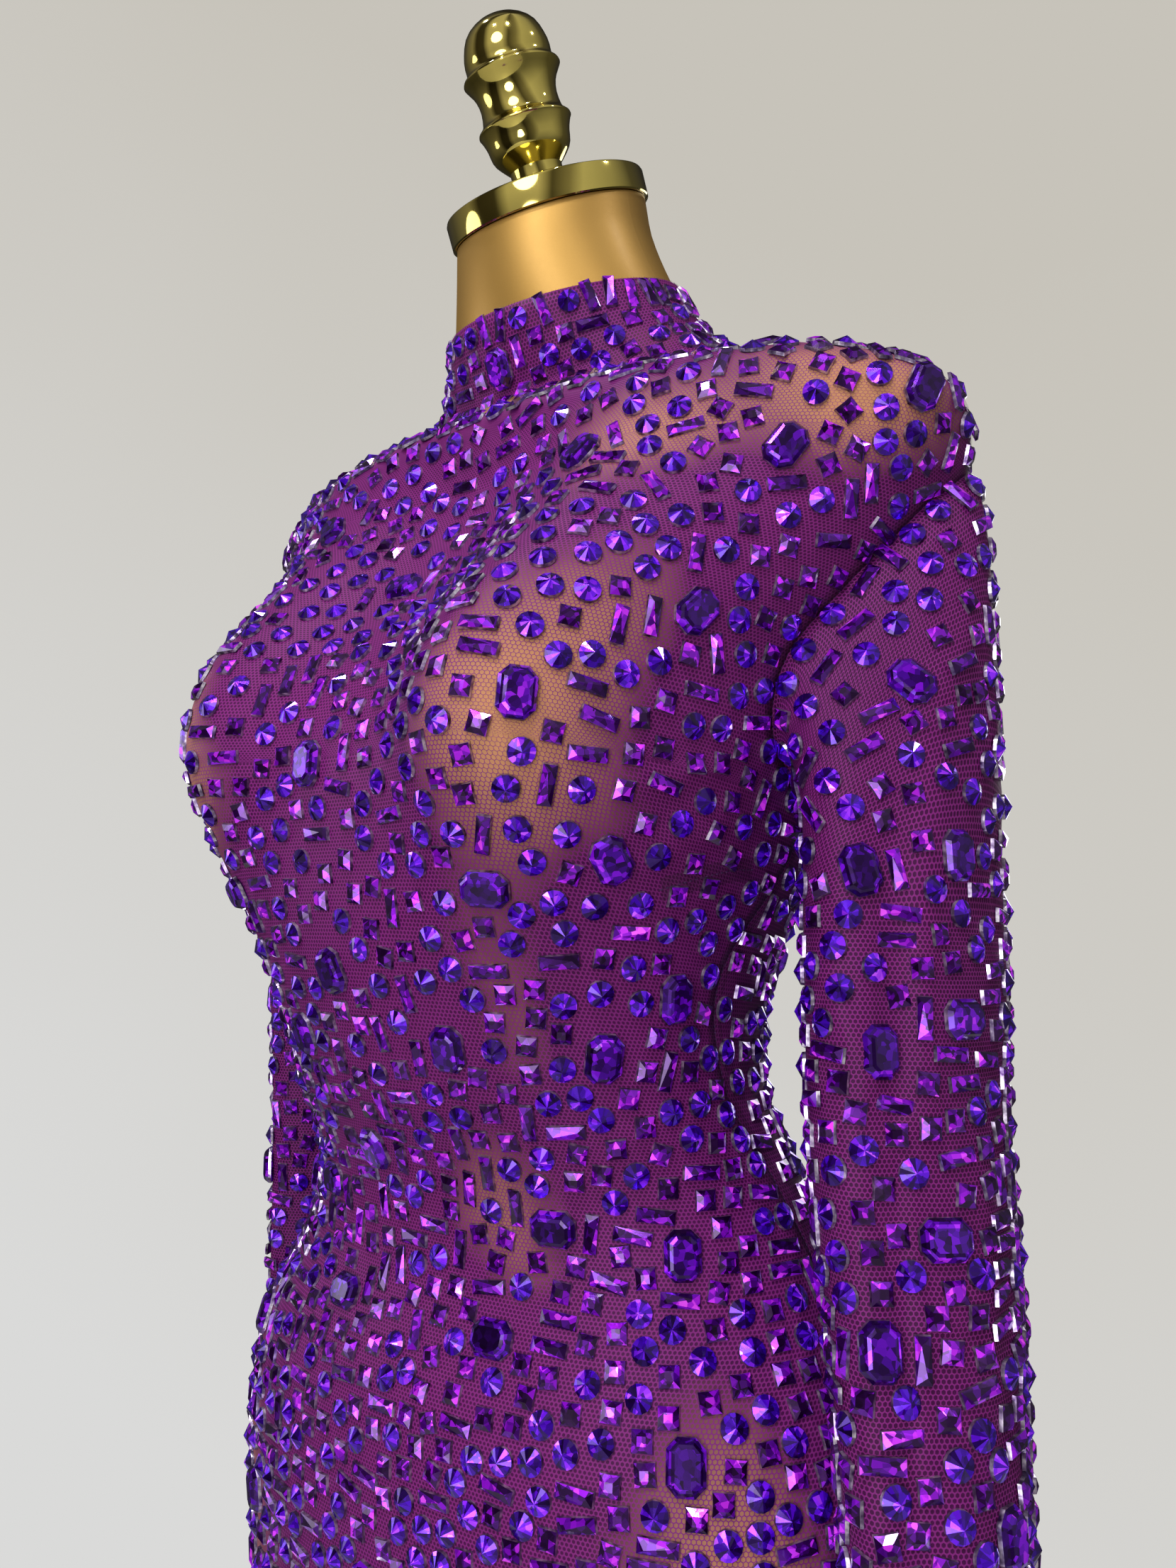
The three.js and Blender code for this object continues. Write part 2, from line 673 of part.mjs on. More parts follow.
function baseGeometry() {
  const { radius, rim, edge, hubRadius, hubZ, socketRadius, socketZ, socketTop, bevel } = BASE;
  return turned([
    [0, 0], [radius, 0], [radius, rim - bevel], [radius - edge, rim],
    [hubRadius, hubZ], [socketRadius, socketZ], [socketRadius, socketTop - bevel],
    [socketRadius - bevel, socketTop], [0, socketTop],
  ]);
}

function material(color, roughness, metalness) {
  return new THREE.MeshStandardMaterial({ color, roughness, metalness });
}

function mesh(name, geometry, finish) {
  const piece = new THREE.Mesh(geometry, finish);
  piece.name = name;
  return piece;
}

const net = () => material('#5f1e7a', 0.6, 0.1);
const satinGold = () => material('#c9a24a', 0.42, 0.85);
const polishedGold = () => material('#d8ae4c', 0.15, 1);

const dress = new THREE.Group();
dress.add(
  mesh('front_panel', panelGeometry('front', [
    ...FRONT_STONES,
    ...FRONT_STONES.map(mirrored),
    ...MIDDLE_STONES,
    ...staggered(LOWER_STONES),
  ]), net()),
  mesh('back_panel', panelGeometry('back', staggered(BACK_STONES)), net()),
  mesh('collar', collarGeometry(), net()),
  mesh('left_sleeve', sleeveGeometry(LEFT_SLEEVE, false), net()),
  mesh('right_sleeve', sleeveGeometry(RIGHT_SLEEVE, true), net()),
);

// The cap and the finial lean with the neck.
const head = new THREE.Group();
head.position.set(0, column(SECTIONS, 'shift', NECK_TOP_Z), NECK_TOP_Z);
head.rotation.x = radians(column(SECTIONS, 'tilt', NECK_TOP_Z));
const cap = mesh('neck_cap', capGeometry(), polishedGold());
cap.position.z = SEAM_GAP;
const finial = mesh('finial', finialGeometry(), polishedGold());
finial.position.z = CAP.height + 2 * SEAM_GAP;
head.add(cap, finial);

const poleFoot = BASE.socketTop + SEAM_GAP;
const poleLength = FORM_BOTTOM_Z - SEAM_GAP - poleFoot;
const poleShape = new THREE.CylinderGeometry(POLE_RADIUS, POLE_RADIUS, poleLength, 24).rotateX(Math.PI / 2);
const pole = mesh('pole', poleShape, polishedGold());
pole.position.z = poleFoot + poleLength / 2;

const stand = new THREE.Group();
stand.add(
  mesh('form_torso', formGeometry(), satinGold()),
  head,
  pole,
  mesh('base', baseGeometry(), polishedGold()),
);

const part = new THREE.Group();
part.add(dress, stand);

export default part;
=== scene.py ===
"""Long sleeve party dress of violet stretch net set with faceted stones, on a gold limbless dress form."""
import math

import bpy
import numpy as np
from mathutils import Matrix, Vector


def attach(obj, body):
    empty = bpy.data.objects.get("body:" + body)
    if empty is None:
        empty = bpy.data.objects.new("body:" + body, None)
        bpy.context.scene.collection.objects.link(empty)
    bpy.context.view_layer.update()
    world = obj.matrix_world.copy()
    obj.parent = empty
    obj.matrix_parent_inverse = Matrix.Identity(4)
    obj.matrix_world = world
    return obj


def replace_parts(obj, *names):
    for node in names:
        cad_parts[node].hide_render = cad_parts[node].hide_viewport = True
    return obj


bl_info = {
    "name": "Stone set party dress on a dress form",
    "version": (1, 0, 0),
    "blender": (4, 5, 0),
    "location": "3D View > Sidebar > Dress",
    "description": "Builds a long sleeve net dress set with stones, its form, its stand and a plain studio",
    "category": "Add Mesh",
}

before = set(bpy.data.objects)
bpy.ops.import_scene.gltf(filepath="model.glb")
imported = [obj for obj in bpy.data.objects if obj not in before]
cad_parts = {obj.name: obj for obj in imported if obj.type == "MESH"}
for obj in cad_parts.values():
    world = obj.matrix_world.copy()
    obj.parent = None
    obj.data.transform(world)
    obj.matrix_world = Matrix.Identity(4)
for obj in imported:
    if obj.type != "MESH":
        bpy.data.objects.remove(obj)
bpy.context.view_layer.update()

MM = 0.001  # a size is in millimetres unless its comment says metres, and a mesh is in metres
SEED = 7

# Cloth
WALL = 1.2
EASE = 0.9  # from the form to the inside of the cloth
NET_OUT = EASE + WALL  # the face that the stones are glued to
NET_THICK = 0.4
PANEL_STEP, FINE_STEP, STONE_STEP = 5, 4, 2.6  # between a grid's points
PANEL_WIDE, COLLAR_TALL, NECK_ROUND, SLEEVE_ROUND, HEAD_TALL = 500, 50, 400, 300, 190  # the grids' sides
TURN_CROWDING, HEAD_CROWDING = 2.6, 1.15  # of rows at the armhole's ends, and where the sleeve leaves it
SLEEVE_COVER, COLLAR_COVER = 0.88, 0.95  # how much of a hole is filled with the dark painted shade colour where the net is slack

# Sewing: half length, half width and half height of a stitch and of a frayed end, and the steps between
STITCH, STITCH_STEP = (1.25, 0.34, 0.3), 2.9
FRAY, FRAY_STEP = (1.2, 0.13, 0.13), 1.7
ALLOWANCE = 5  # of net on each side of a seam

# Heights of the dress and the form
HEM_Z = 570
FORM_BOTTOM_Z = 720
COLLAR_TOP_Z = 1452
NECK_TOP_Z = 1500
NECK_SEAM_SIDE, NECK_SEAM_DROP, NECK_SEAM_RISE = 1402, 23, 3
SHOULDER_Z = 1356

# Armhole, an oval on the side of the body, and the seams that lead to it
ARMHOLE_ANGLE, ARMHOLE_REACH, ARMHOLE_Z, ARMHOLE_RISE = 13, 21, 1256, 72
ARMHOLE_BOTTOM, ARMHOLE_TOP = ARMHOLE_Z - ARMHOLE_RISE, ARMHOLE_Z + ARMHOLE_RISE
SEAM_SHIFT_FROM_Z = 1090

# The form's outside: z, half width, front, back, shift, tilt, square
SECTIONS = np.array([
    [570, 140, 84, 92, 12, 0, 2.3],
    [640, 143, 85, 93, 12, 0, 2.3],
    [720, 152, 88, 97, 14, 0, 2.3],
    [780, 167, 94, 108, 16, 0, 2.3],
    [830, 176, 98, 113, 18, 0, 2.3],
    [880, 178, 101, 107, 17, 0, 2.3],
    [930, 170, 100, 95, 16, 1, 2.2],
    [980, 147, 89, 83, 18, 2, 2.1],
    [1020, 130, 85, 83, 8, 1, 2.1],
    [1060, 118, 87, 105, -14, -2, 2.1],
    [1110, 120, 92, 130, -26, -5, 2.1],
    [1160, 135, 95, 130, -20, -6, 2.2],
    [1200, 143, 96, 118, -10, -5, 2.3],
    [1240, 155, 96, 104, 1, -3, 2.4],
    [1270, 173, 91, 93, 12, -3, 2.5],
    [1300, 193, 84, 85, 18, -3, 2.5],
    [1330, 208, 76, 79, 17, -3, 2.5],
    [1355, 210, 69, 72, 9, -1, 2.2],
    [1375, 173, 61, 64, 2, 4, 2.0],
    [1392, 108, 52, 58, 11, 9, 1.9],
    [1408, 97, 52, 57, 18, 13, 1.9],
    [1425, 78, 56, 57, 15, 16, 2.0],
    [1450, 64, 56, 56, 5, 19, 2.0],
    [1480, 54, 53, 53, -5, 21, 2.0],
    [1500, 52, 52, 52, -9, 26, 2.0],
], float)
SHIFT, TILT = 4, 5  # columns of the table
BUST_X, BUST_Z, BUST_WIDTH, BUST_DROP, BUST_RISE, BUST_OUT = 98, 1203, 61, 72, 108, 64
BRIDGE_Z, BRIDGE_WIDTH, BRIDGE_HEIGHT, BRIDGE_OUT = 1200, 42, 62, 16

# Sleeves: z, out, back, half, deep
LEFT_SLEEVE = np.array([
    [780, 217, -16, 26, 40],
    [850, 215, -13, 27, 46],
    [920, 209, -7, 28, 51],
    [980, 201, 3, 31, 54],
    [1050, 190, 15, 34, 58],
    [1130, 184, 22, 34, 60],
], float)
RIGHT_SLEEVE = np.array([
    [780, 216, 56, 26, 40],
    [850, 215, 55, 27, 46],
    [920, 211, 53, 28, 51],
    [980, 206, 50, 31, 54],
    [1050, 199, 45, 34, 58],
    [1130, 190, 36, 34, 60],
], float)
SLEEVES = (("left", LEFT_SLEEVE, False), ("right", RIGHT_SLEEVE, True))  # the last says mirrored
CUFF_Z, ARM_Z, HEAD_SWELL, HEAD_FALL = 780, 1130, 52, 0.9
FOLD_FADE = 70
# Long folds of a sleeve: place round it (90 outside, 180 front), depth, width, from, to
FOLDS = [[150, 7, 20, 1190, 780], [62, 4, 18, 1120, 900], [300, 4, 18, 1060, 780]]

# Small creases: place and height at each end, width, and height of the ridge (a trough is less than 0)
FRONT_CREASES = [
    [-4, 1196, -33, 1176, 5, 2.2], [-3, 1178, -26, 1146, 6, 1.8], [-6, 1214, -27, 1212, 5, 1.5],
    [-178, 1190, -150, 1168, 6, 2.0], [-176, 1170, -157, 1150, 5, 1.6], [-16, 1372, -34, 1384, 4, 1.6],
    [-28, 1352, -48, 1372, 5, 1.3], [-150, 1378, -128, 1362, 5, 1.6], [-158, 1352, -140, 1340, 4, 1.2],
    [-70, 1300, -112, 1304, 7, 1.2], [-82, 1284, -120, 1290, 6, 1.0], [-20, 1050, -52, 1036, 6, 1.4],
    [-158, 1062, -118, 1040, 6, 1.3], [-30, 1028, -80, 1022, 7, 1.1], [-14, 790, -50, 760, 8, 1.4],
    [-166, 800, -128, 772, 8, 1.5],
]
BACK_CREASES = [
    [20, 1196, 52, 1168, 6, 2.0], [22, 1176, 48, 1142, 5, 1.6], [160, 1192, 132, 1170, 6, 2.1],
    [158, 1170, 136, 1140, 5, 1.5], [30, 1060, 82, 1046, 7, 1.6], [150, 1054, 104, 1032, 7, 1.7],
    [48, 1030, 112, 1024, 8, 1.3], [60, 1352, 84, 1366, 6, 1.2], [118, 1360, 96, 1340, 6, 1.1],
    [40, 760, 74, 742, 9, 1.4], [140, 776, 104, 748, 9, 1.4],
]
SLEEVE_CREASES = [
    [70, 1236, 112, 1176, 8, 2.2], [112, 1262, 140, 1196, 7, 1.8], [40, 1220, 66, 1168, 8, 1.6],
    [196, 1120, 158, 1066, 6, 2.2], [120, 1072, 172, 1040, 6, 1.8], [96, 1010, 150, 984, 7, 2.2],
    [168, 968, 118, 946, 6, 1.6], [60, 990, 108, 968, 7, 1.6], [174, 900, 136, 862, 6, 1.4],
    [108, 868, 72, 832, 7, 1.6], [250, 1040, 300, 1002, 8, 2.0], [330, 960, 380, 930, 8, 1.8],
    [320, 880, 372, 850, 7, 1.4], [226, 930, 262, 884, 7, 1.6], [126, 1204, 134, 1030, 5, 2.4],
    [142, 1090, 148, 890, 5, 2.2], [104, 1070, 112, 930, 6, 2.0], [90, 960, 94, 830, 6, 1.8],
    [160, 1160, 166, 1040, 5, 1.8],
]
ROUND_BODY_MM = 2.6  # millimetres for each degree round the body, about
ROUND_SLEEVE_MM = 0.8

# Where the net lies tight on the form and the gold shows, and where painted light of the lit gold is put into
# its holes: place, height, spread in degrees and in height
FRONT_TIGHT_AND_PAINTED_LIGHT = [
    [-46, 1196, 17, 56, 1.0], [-134, 1196, 15, 50, 0.9], [-26, 1342, 24, 26, 0.95], [-154, 1342, 20, 24, 0.7],
    [-62, 1326, 12, 26, 0.5], [-36, 838, 17, 92, 1.0], [-144, 838, 17, 92, 0.9], [-70, 1012, 14, 34, 0.45],
    [-52, 1090, 12, 40, 0.35],
]
BACK_TIGHT_AND_PAINTED_LIGHT = [
    [48, 1300, 18, 40, 0.9], [132, 1300, 18, 40, 0.9], [62, 842, 18, 74, 1.0], [118, 842, 18, 74, 1.0],
    [30, 1346, 20, 24, 0.8], [150, 1346, 20, 24, 0.8], [90, 1080, 12, 60, 0.3],
]

# Large octagons, at the solid's own places: place, height, turn. The front's have mirror copies.
FRONT_OCTAGONS = [
    [-45, 1200, 0], [-71, 1322, -30], [-40, 1318, -35], [-29, 1246, -40], [-52, 1132, 90], [-28, 1146, 40],
    [-68, 1074, 0], [-33, 1074, 0], [-60, 1008, 90], [-35, 1000, 0], [-42, 930, 0], [-74, 962, 90],
    [-12, 1098, 10], [-14, 1346, -20],
]
MIDDLE_OCTAGONS = [[-94, 1182, 0], [-92, 1276, 90], [-94, 1100, 15], [-98, 1030, 0]]
SLEEVE_OCTAGONS = [
    [158, 1084, 0], [112, 1096, 90], [128, 1020, 90], [170, 985, 0], [100, 925, 0], [150, 860, 90],
    [330, 1010, 0], [15, 900, 0],
]
HEAD_OCTAGONS = [[166, 1152, 0], [112, 1158, 0], [132, 1228, 10]]  # above the tube, not in the solid
COLLAR_OCTAGONS = [[-92, 1424, 0], [88, 1424, 0]]
STAGGER_STEP, STAGGER_TURN = 36, 12
SKIRT_LEVELS, BACK_LEVELS = [852, 700], [1316, 1226, 1124, 1010, 890, 752]

# Stones' own sizes
OCTAGON_WIDE, OCTAGON_LONG, OCTAGON_CORNER = 15, 20, 4
ROUND_RADIUS, ROUND_FACETS = 5.4, 14
SQUARE_HALF, SQUARE_WAIST = 4.1, 3.95
BAGUETTE_HALF_WIDE, BAGUETTE_HALF_LONG = 2.8, 7.8
GIRDLE = 1.4  # height of a stone's straight side
ROUND_FOOT, OTHER_FOOT = 1.03, 1.05  # how much a foot is wider than its stone, where the foil shows

# Laying the small stones
BAGUETTE = 2  # its number among the small cuts
SQUARE_SHARE = 0.4  # of those that aren't round
REACH = np.array([5.4, 4.7, 3.1])  # radius of the circles that cover a round, square and baguette
ALONG_BAGUETTE = np.array([-5.0, 0, 5.0])
OCTAGON_REACH, OCTAGON_SHIFT = 7.4, 3.0
ROWS_AHEAD = 14  # of the grid, as far as two stones can touch
EDGE_MARGIN = 6.5  # from the cloth's edge to a stone's middle
UPRIGHT, COLLAR_UPRIGHT = 0.55, 0.9  # share of them that stand along the cloth
TURN_SPREAD, LOOSE_ABOVE_Z, LOOSE_TURN = 6, 1290, 34  # degrees, and more of them above that height
TINTS = np.array([0.0, 1.0, 0.9, 0.5])  # from blue violet to plum: round, square, baguette, octagon
CALM = np.array([1.0, 0.96, 1.0, 0.78])  # how bright each cut's painted flashes may be

# Profile of the finial and the cap, as radius and height
CAP_RADIUS, CAP_HEIGHT = 54, 14
FINIAL_STEM = [[0, 0], [17, 0], [17.4, 1], [17, 2.4], [14.7, 3.2], [14, 4.5], [14, 14.4]]
FINIAL_BULB = [[14, 15], [17, 18], [21, 23], [22.5, 30], [24.2, 34.6], [25, 36]]
FINIAL_WAIST = [[25, 36], [24.6, 37.2], [21.8, 40], [20.6, 48], [22, 55], [25.2, 60.2], [26, 61.5]]
FINIAL_DOME = [[26, 61.5], [25.4, 62.8], [23, 65], [22.6, 73], [18.5, 83], [9.5, 89], [0, 90]]
POLE_RADIUS = 14
BASE_RADIUS, SOCKET_RADIUS, SOCKET_TOP = 160, 23, 48
FORM_STEP, FORM_COLUMNS = 6, 80  # of the torso's grid
SHARP_ANGLE = math.radians(32)  # between faces that meet in a crisp edge

# The photograph's camera
CAMERA_PLACE = (0.4000, -0.4379, 1.1216)
CAMERA_TURN, CAMERA_PITCH, CAMERA_ROLL = 40.34, 7.61, 1.42
CAMERA_LENS = 27.03
SENSOR = 36

# The studio, in metres. Lamps: name, place, height aimed at, width, power in watts
FLOOR_RADIUS, FLOOR_SIDES = 1.6, 96
LAMPS = [
    ("key_softbox", (0.6, -2.1, 2.1), 1.0, 1.0, 17),
    ("fill_softbox", (0.8, -2.0, 0.7), 0.85, 1.0, 20),
    ("left_softbox", (-1.8, -1.3, 1.4), 1.0, 1.0, 9),
    ("rim_softbox", (-0.5, 2.1, 1.7), 1.0, 1.2, 12),
    ("ceiling_spot_a", (0.15, -1.2, 2.6), 1.2, 0.1, 9),
    ("ceiling_spot_b", (0.75, -0.9, 2.7), 1.2, 0.1, 9),
    ("ceiling_spot_c", (-0.5, -0.5, 2.8), 1.2, 0.1, 8),
    ("ceiling_spot_d", (1.1, 0.3, 2.6), 1.2, 0.1, 3),
]


# Sizes and shapes

def bump(distance, width):
    """A bell of height 1: exp of minus the distance over the width, squared."""
    return np.exp(-((distance / width) ** 2))


def ease(t):
    """A soft step from 0 to 1: 3t squared less 2t cubed."""
    t = np.clip(t, 0, 1)
    return t * t * (3 - 2 * t)


def signed_power(value, power):
    return np.sign(value) * np.abs(value) ** power


def unit(vectors):
    return vectors / np.maximum(np.linalg.norm(vectors, axis=-1, keepdims=True), 1e-9)


def cos_sin(degrees):
    return np.cos(np.radians(degrees)), np.sin(np.radians(degrees))


def hermite(start, start_slope, end, end_slope, t):
    """Cubic between two values with the slopes given at both."""
    rest = 1 - t
    return (start * (1 + 2 * t) * rest * rest + start_slope * t * rest * rest
            + end * t * t * (3 - 2 * t) - end_slope * t * t * rest)


def columns_at(rows, z):
    """All columns of a table at heights z: cubics between its rows, with three-point slopes."""
    z = np.asarray(z, float)
    key = rows[:, 0]
    k = np.arange(len(key))
    low, high = np.maximum(k - 1, 0), np.minimum(k + 1, len(key) - 1)
    slope = (rows[high] - rows[low]) / (key[high] - key[low])[:, None]
    i = np.clip(np.searchsorted(key, z, side="right") - 1, 0, len(key) - 2)
    span = (key[i + 1] - key[i])[..., None]
    t = np.clip((z[..., None] - key[i][..., None]) / span, 0, 1)
    return hermite(rows[i], slope[i] * span, rows[i + 1], slope[i + 1] * span, t)


def body_point(angle, z, bridged=True):
    """The form's surface: the table's oval at each height, with two soft bells for the bust. Its x is
    half * cos(angle) and its y depth * sin(angle), each to the power 2 / square. A bridged surface also
    spans the hollow between the cups, as the net does."""
    angle, z = np.broadcast_arrays(np.asarray(angle, float), np.asarray(z, float))
    _, half, front, back, shift, tilt, square = np.moveaxis(columns_at(SECTIONS, z), -1, 0)
    across, along = cos_sin(angle)
    x = half * signed_power(across, 2 / square)
    tall = np.where(z > BUST_Z, BUST_RISE, BUST_DROP)
    cups = (bump(x - BUST_X, BUST_WIDTH) + bump(x + BUST_X, BUST_WIDTH)) * bump(z - BUST_Z, tall)
    out = BUST_OUT * cups
    if bridged:
        out = out + BRIDGE_OUT * bump(x, BRIDGE_WIDTH) * bump(z - BRIDGE_Z, BRIDGE_HEIGHT)
    depth = np.where(along < 0, front, back)
    y = depth * signed_power(along, 2 / square) - out * np.sqrt(np.maximum(-along, 0))
    level, up = cos_sin(tilt)
    return np.stack([x, shift + y * level, z + y * up], -1)


def body_normal(angle, z):
    step = 0.5
    round_it = body_point(angle + step, z) - body_point(angle - step, z)
    up = body_point(angle, z + step) - body_point(angle, z - step)
    return unit(np.cross(round_it, up))


def net_point(angle, z, out=NET_OUT):
    return body_point(angle, z) + out * body_normal(angle, z)


def armhole_reach(z):
    share = (z - ARMHOLE_Z) / ARMHOLE_RISE
    return ARMHOLE_REACH * np.sqrt(np.maximum(1 - share * share, 0))


def seam_angle(z):
    """Place of the side and shoulder seam: it leans back to the armhole and comes forward above it."""
    rising = ease((z - SEAM_SHIFT_FROM_Z) / (ARMHOLE_BOTTOM - SEAM_SHIFT_FROM_Z))
    falling = ease((z - ARMHOLE_TOP) / (SHOULDER_Z - ARMHOLE_TOP))
    return ARMHOLE_ANGLE * (rising - falling)


def armhole(turn):
    """Angle and height of a point of the armhole's oval."""
    cos, sin = cos_sin(turn)
    return ARMHOLE_ANGLE + ARMHOLE_REACH * cos, ARMHOLE_Z + ARMHOLE_RISE * sin


def neck_seam_z(angle):
    _, along = cos_sin(angle)
    return NECK_SEAM_SIDE + np.where(along < 0, -NECK_SEAM_DROP, NECK_SEAM_RISE) * along * along


def row_z(nominal, angle):
    """Height of a row: level up to the shoulder, then it leans towards the neck seam."""
    share = np.clip((nominal - SHOULDER_Z) / (NECK_SEAM_SIDE - SHOULDER_Z), 0, 1)
    leaned = SHOULDER_Z + share * (neck_seam_z(angle) - SHOULDER_Z)
    return np.where(nominal > SHOULDER_Z, leaned, nominal)


def panel_place(side, nominal, share):
    """Degrees round the body of a share of the way from a panel's first seam to its last."""
    middle, reach = seam_angle(nominal), armhole_reach(nominal)
    first, last = (-180 - middle + reach, middle - reach) if side == "front" else (
        middle + reach, 180 - middle - reach)
    return first + (last - first) * share


def spread(start, end, step):
    """Even values from start to end, about a step apart."""
    return np.linspace(start, end, max(int(round(abs(end - start) / step)), 1) + 1)


def turns(count):
    """Even steps of a full turn, in degrees, without the last."""
    return 360 * np.arange(count) / count


def panel_levels(step):
    """Heights of a panel's rows: even, but crowded at the armhole's two ends, where its edge turns."""
    turn = spread(0, math.pi, step * math.pi / (TURN_CROWDING * ARMHOLE_RISE))
    return np.concatenate([
        spread(HEM_Z, ARMHOLE_BOTTOM, step)[:-1],
        ARMHOLE_Z - ARMHOLE_RISE * np.cos(turn),
        spread(ARMHOLE_TOP, NECK_SEAM_SIDE, step)[1:],
    ])


def grid_normals(points, closed):
    """Outward normals of a grid, from the differences of its neighbours along rows and columns."""
    if closed:
        across = np.roll(points, -1, 1) - np.roll(points, 1, 1)
    else:
        across = np.gradient(points, axis=1)
    up = np.gradient(points, axis=0)
    return unit(np.cross(across, up)), unit(across)


def crease_height(places, heights, creases, round_mm):
    """Sum of soft ridges: each is a bell across its own line and a half sine wave along it."""
    total = np.zeros(np.broadcast(places, heights).shape)
    for first, from_z, last, to_z, width, height in creases:
        run, rise = (last - first) * round_mm, to_z - from_z
        long = math.hypot(run, rise)
        x, y = (places - first) * round_mm, heights - from_z
        along = (x * run + y * rise) / long ** 2
        across = (x * rise - y * run) / long
        total += height * bump(across, width) * np.sin(math.pi * np.clip(along, 0, 1)) ** 1.2
    return total


class Cloth:
    """A cloth surface as a grid: its points, normals, directions along the rows, and how tight it lies."""

    def __init__(self, points, places, closed, creases, round_mm, tight):
        normals, _ = grid_normals(points, closed)
        lift = sum(crease_height(places + turn, points[..., 2], creases, round_mm)
                   for turn in ((0, -360, 360) if closed else (0,)))
        self.points = points + normals * lift[..., None]
        self.normals, self.across = grid_normals(self.points, closed)
        self.closed = closed
        self.tight = tight


def panel_cloth(side, step):
    """A panel: net_point on a grid of heights and shares of the way between the seams."""
    nominal = panel_levels(step)[:, None]
    places = panel_place(side, nominal, spread(0, 1, step / PANEL_WIDE)[None, :])
    z = row_z(nominal, places)
    creases, spots = (FRONT_CREASES, FRONT_TIGHT_AND_PAINTED_LIGHT) if side == "front" else (BACK_CREASES, BACK_TIGHT_AND_PAINTED_LIGHT)
    tight = sum(s * bump(places - a, w) * bump(z - h, t) for a, h, w, t, s in spots)
    return Cloth(net_point(places, z), places, False, creases, ROUND_BODY_MM, tight)


def collar_cloth(step):
    """The collar: net_point from the neck seam up to the raw edge, all the way round from the back."""
    share = spread(0, 1, step / COLLAR_TALL)[:, None]
    places = 90 + turns(int(NECK_ROUND / step))[None, :]
    seam = neck_seam_z(places)
    z = seam + share * (COLLAR_TOP_Z - seam)
    return Cloth(net_point(places, z), places, True, [], ROUND_BODY_MM, np.full(z.shape, 0.1))


def tube_point(path, turn, z):
    """The hanging sleeve: an oval of half by deep round a sloping middle line, with long folds pressed in."""
    _, out, back, half, deep = np.moveaxis(columns_at(path, z), -1, 0)
    folded = 0
    for place, depth, width, top, bottom in FOLDS:
        away = (turn - place + 180) % 360 - 180
        fade = ease((top - z) / FOLD_FADE) * ease((z - bottom + FOLD_FADE) / FOLD_FADE)
        folded = folded + depth * bump(away, width) * fade
    cos, sin = cos_sin(turn)
    return np.stack([out + (half - folded) * sin, back + (deep - folded) * cos, z + 0 * turn], -1)


def sleeve_cloth(path, step):
    """A left sleeve: cubics that leave the armhole square to the body and turn down into the tube."""
    turn = 270 - turns(int(SLEEVE_ROUND / step))[None, :]
    angle, z = armhole(turn)
    root = net_point(angle, z)
    foot = tube_point(path, turn, np.full(turn.shape, float(ARM_Z)))
    length = np.linalg.norm(root - foot, axis=-1, keepdims=True)
    t = (spread(0, 1, step / HEAD_TALL)[:-1] ** HEAD_CROWDING)[:, None, None]
    head = hermite(root, body_normal(angle, z) * HEAD_SWELL, foot,
                   np.array([0, 0, -HEAD_FALL]) * length, t)
    level = spread(ARM_Z, CUFF_Z, step)[:, None]
    level, round_it = np.broadcast_arrays(level, turn)
    points = np.concatenate([head, tube_point(path, round_it, level)])[::-1]
    places = np.broadcast_to(turn, points.shape[:2])
    tight = np.full(places.shape, 0.32)
    return Cloth(points, places, True, SLEEVE_CREASES, ROUND_SLEEVE_MM, tight)


# Meshes

def grid_quads(rows, columns, closed):
    """Corner numbers of a grid's cells, anticlockwise seen from outside, and the same in a grid with
    one column more, which is where a closed one meets itself."""
    r = np.arange(rows - 1)[:, None]
    c = np.arange(columns if closed else columns - 1)[None, :]
    beside = (c + 1) % columns
    wide = columns + 1 if closed else columns
    found = []
    for count, right in ((columns, beside), (wide, c + 1)):
        low, high = r * count, (r + 1) * count
        found.append(np.stack([low + c, low + right, high + right, high + c], -1).reshape(-1, 4))
    return found


def add_object(name, data):
    made = bpy.data.objects.new(name, data)
    bpy.context.scene.collection.objects.link(made)
    return made


def make_piece(name, points, groups, materials, flat_faces=False, corner_uv=None, face_material=None):
    """A mesh object from points in millimetres and groups of faces, each group an array of corners."""
    mesh = bpy.data.meshes.new(name)
    loops = np.concatenate([g.ravel() for g in groups]).astype(np.int32)
    totals = np.concatenate([np.full(len(g), g.shape[1]) for g in groups])
    mesh.vertices.add(len(points))
    mesh.vertices.foreach_set("co", (np.asarray(points, float) * MM).ravel())
    mesh.loops.add(len(loops))
    mesh.loops.foreach_set("vertex_index", loops)
    mesh.polygons.add(len(totals))
    mesh.polygons.foreach_set("loop_start", (np.cumsum(totals) - totals).astype(np.int32))
    mesh.polygons.foreach_set("use_smooth", np.full(len(totals), not flat_faces))
    if face_material is not None:
        mesh.polygons.foreach_set("material_index", face_material.astype(np.int32))
    mesh.update(calc_edges=True)
    if corner_uv is not None:
        mesh.uv_layers.new(name="cut").data.foreach_set("uv", corner_uv.astype(np.float32).ravel())
    for material in materials:
        mesh.materials.append(material)
    piece = add_object(name, mesh)
    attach(piece, "root")
    return piece


def set_values(piece, name, domain, values):
    layer = piece.data.attributes.new(name, "FLOAT", domain)
    layer.data.foreach_set("value", np.asarray(values, np.float32).ravel())


def arc_lengths(points, axis):
    """Distance along a grid's rows or columns, from its first point."""
    steps = np.linalg.norm(np.diff(points, axis=axis), axis=-1)
    return np.pad(np.cumsum(steps, axis=axis), [(1 - axis, 0), (axis, 0)])


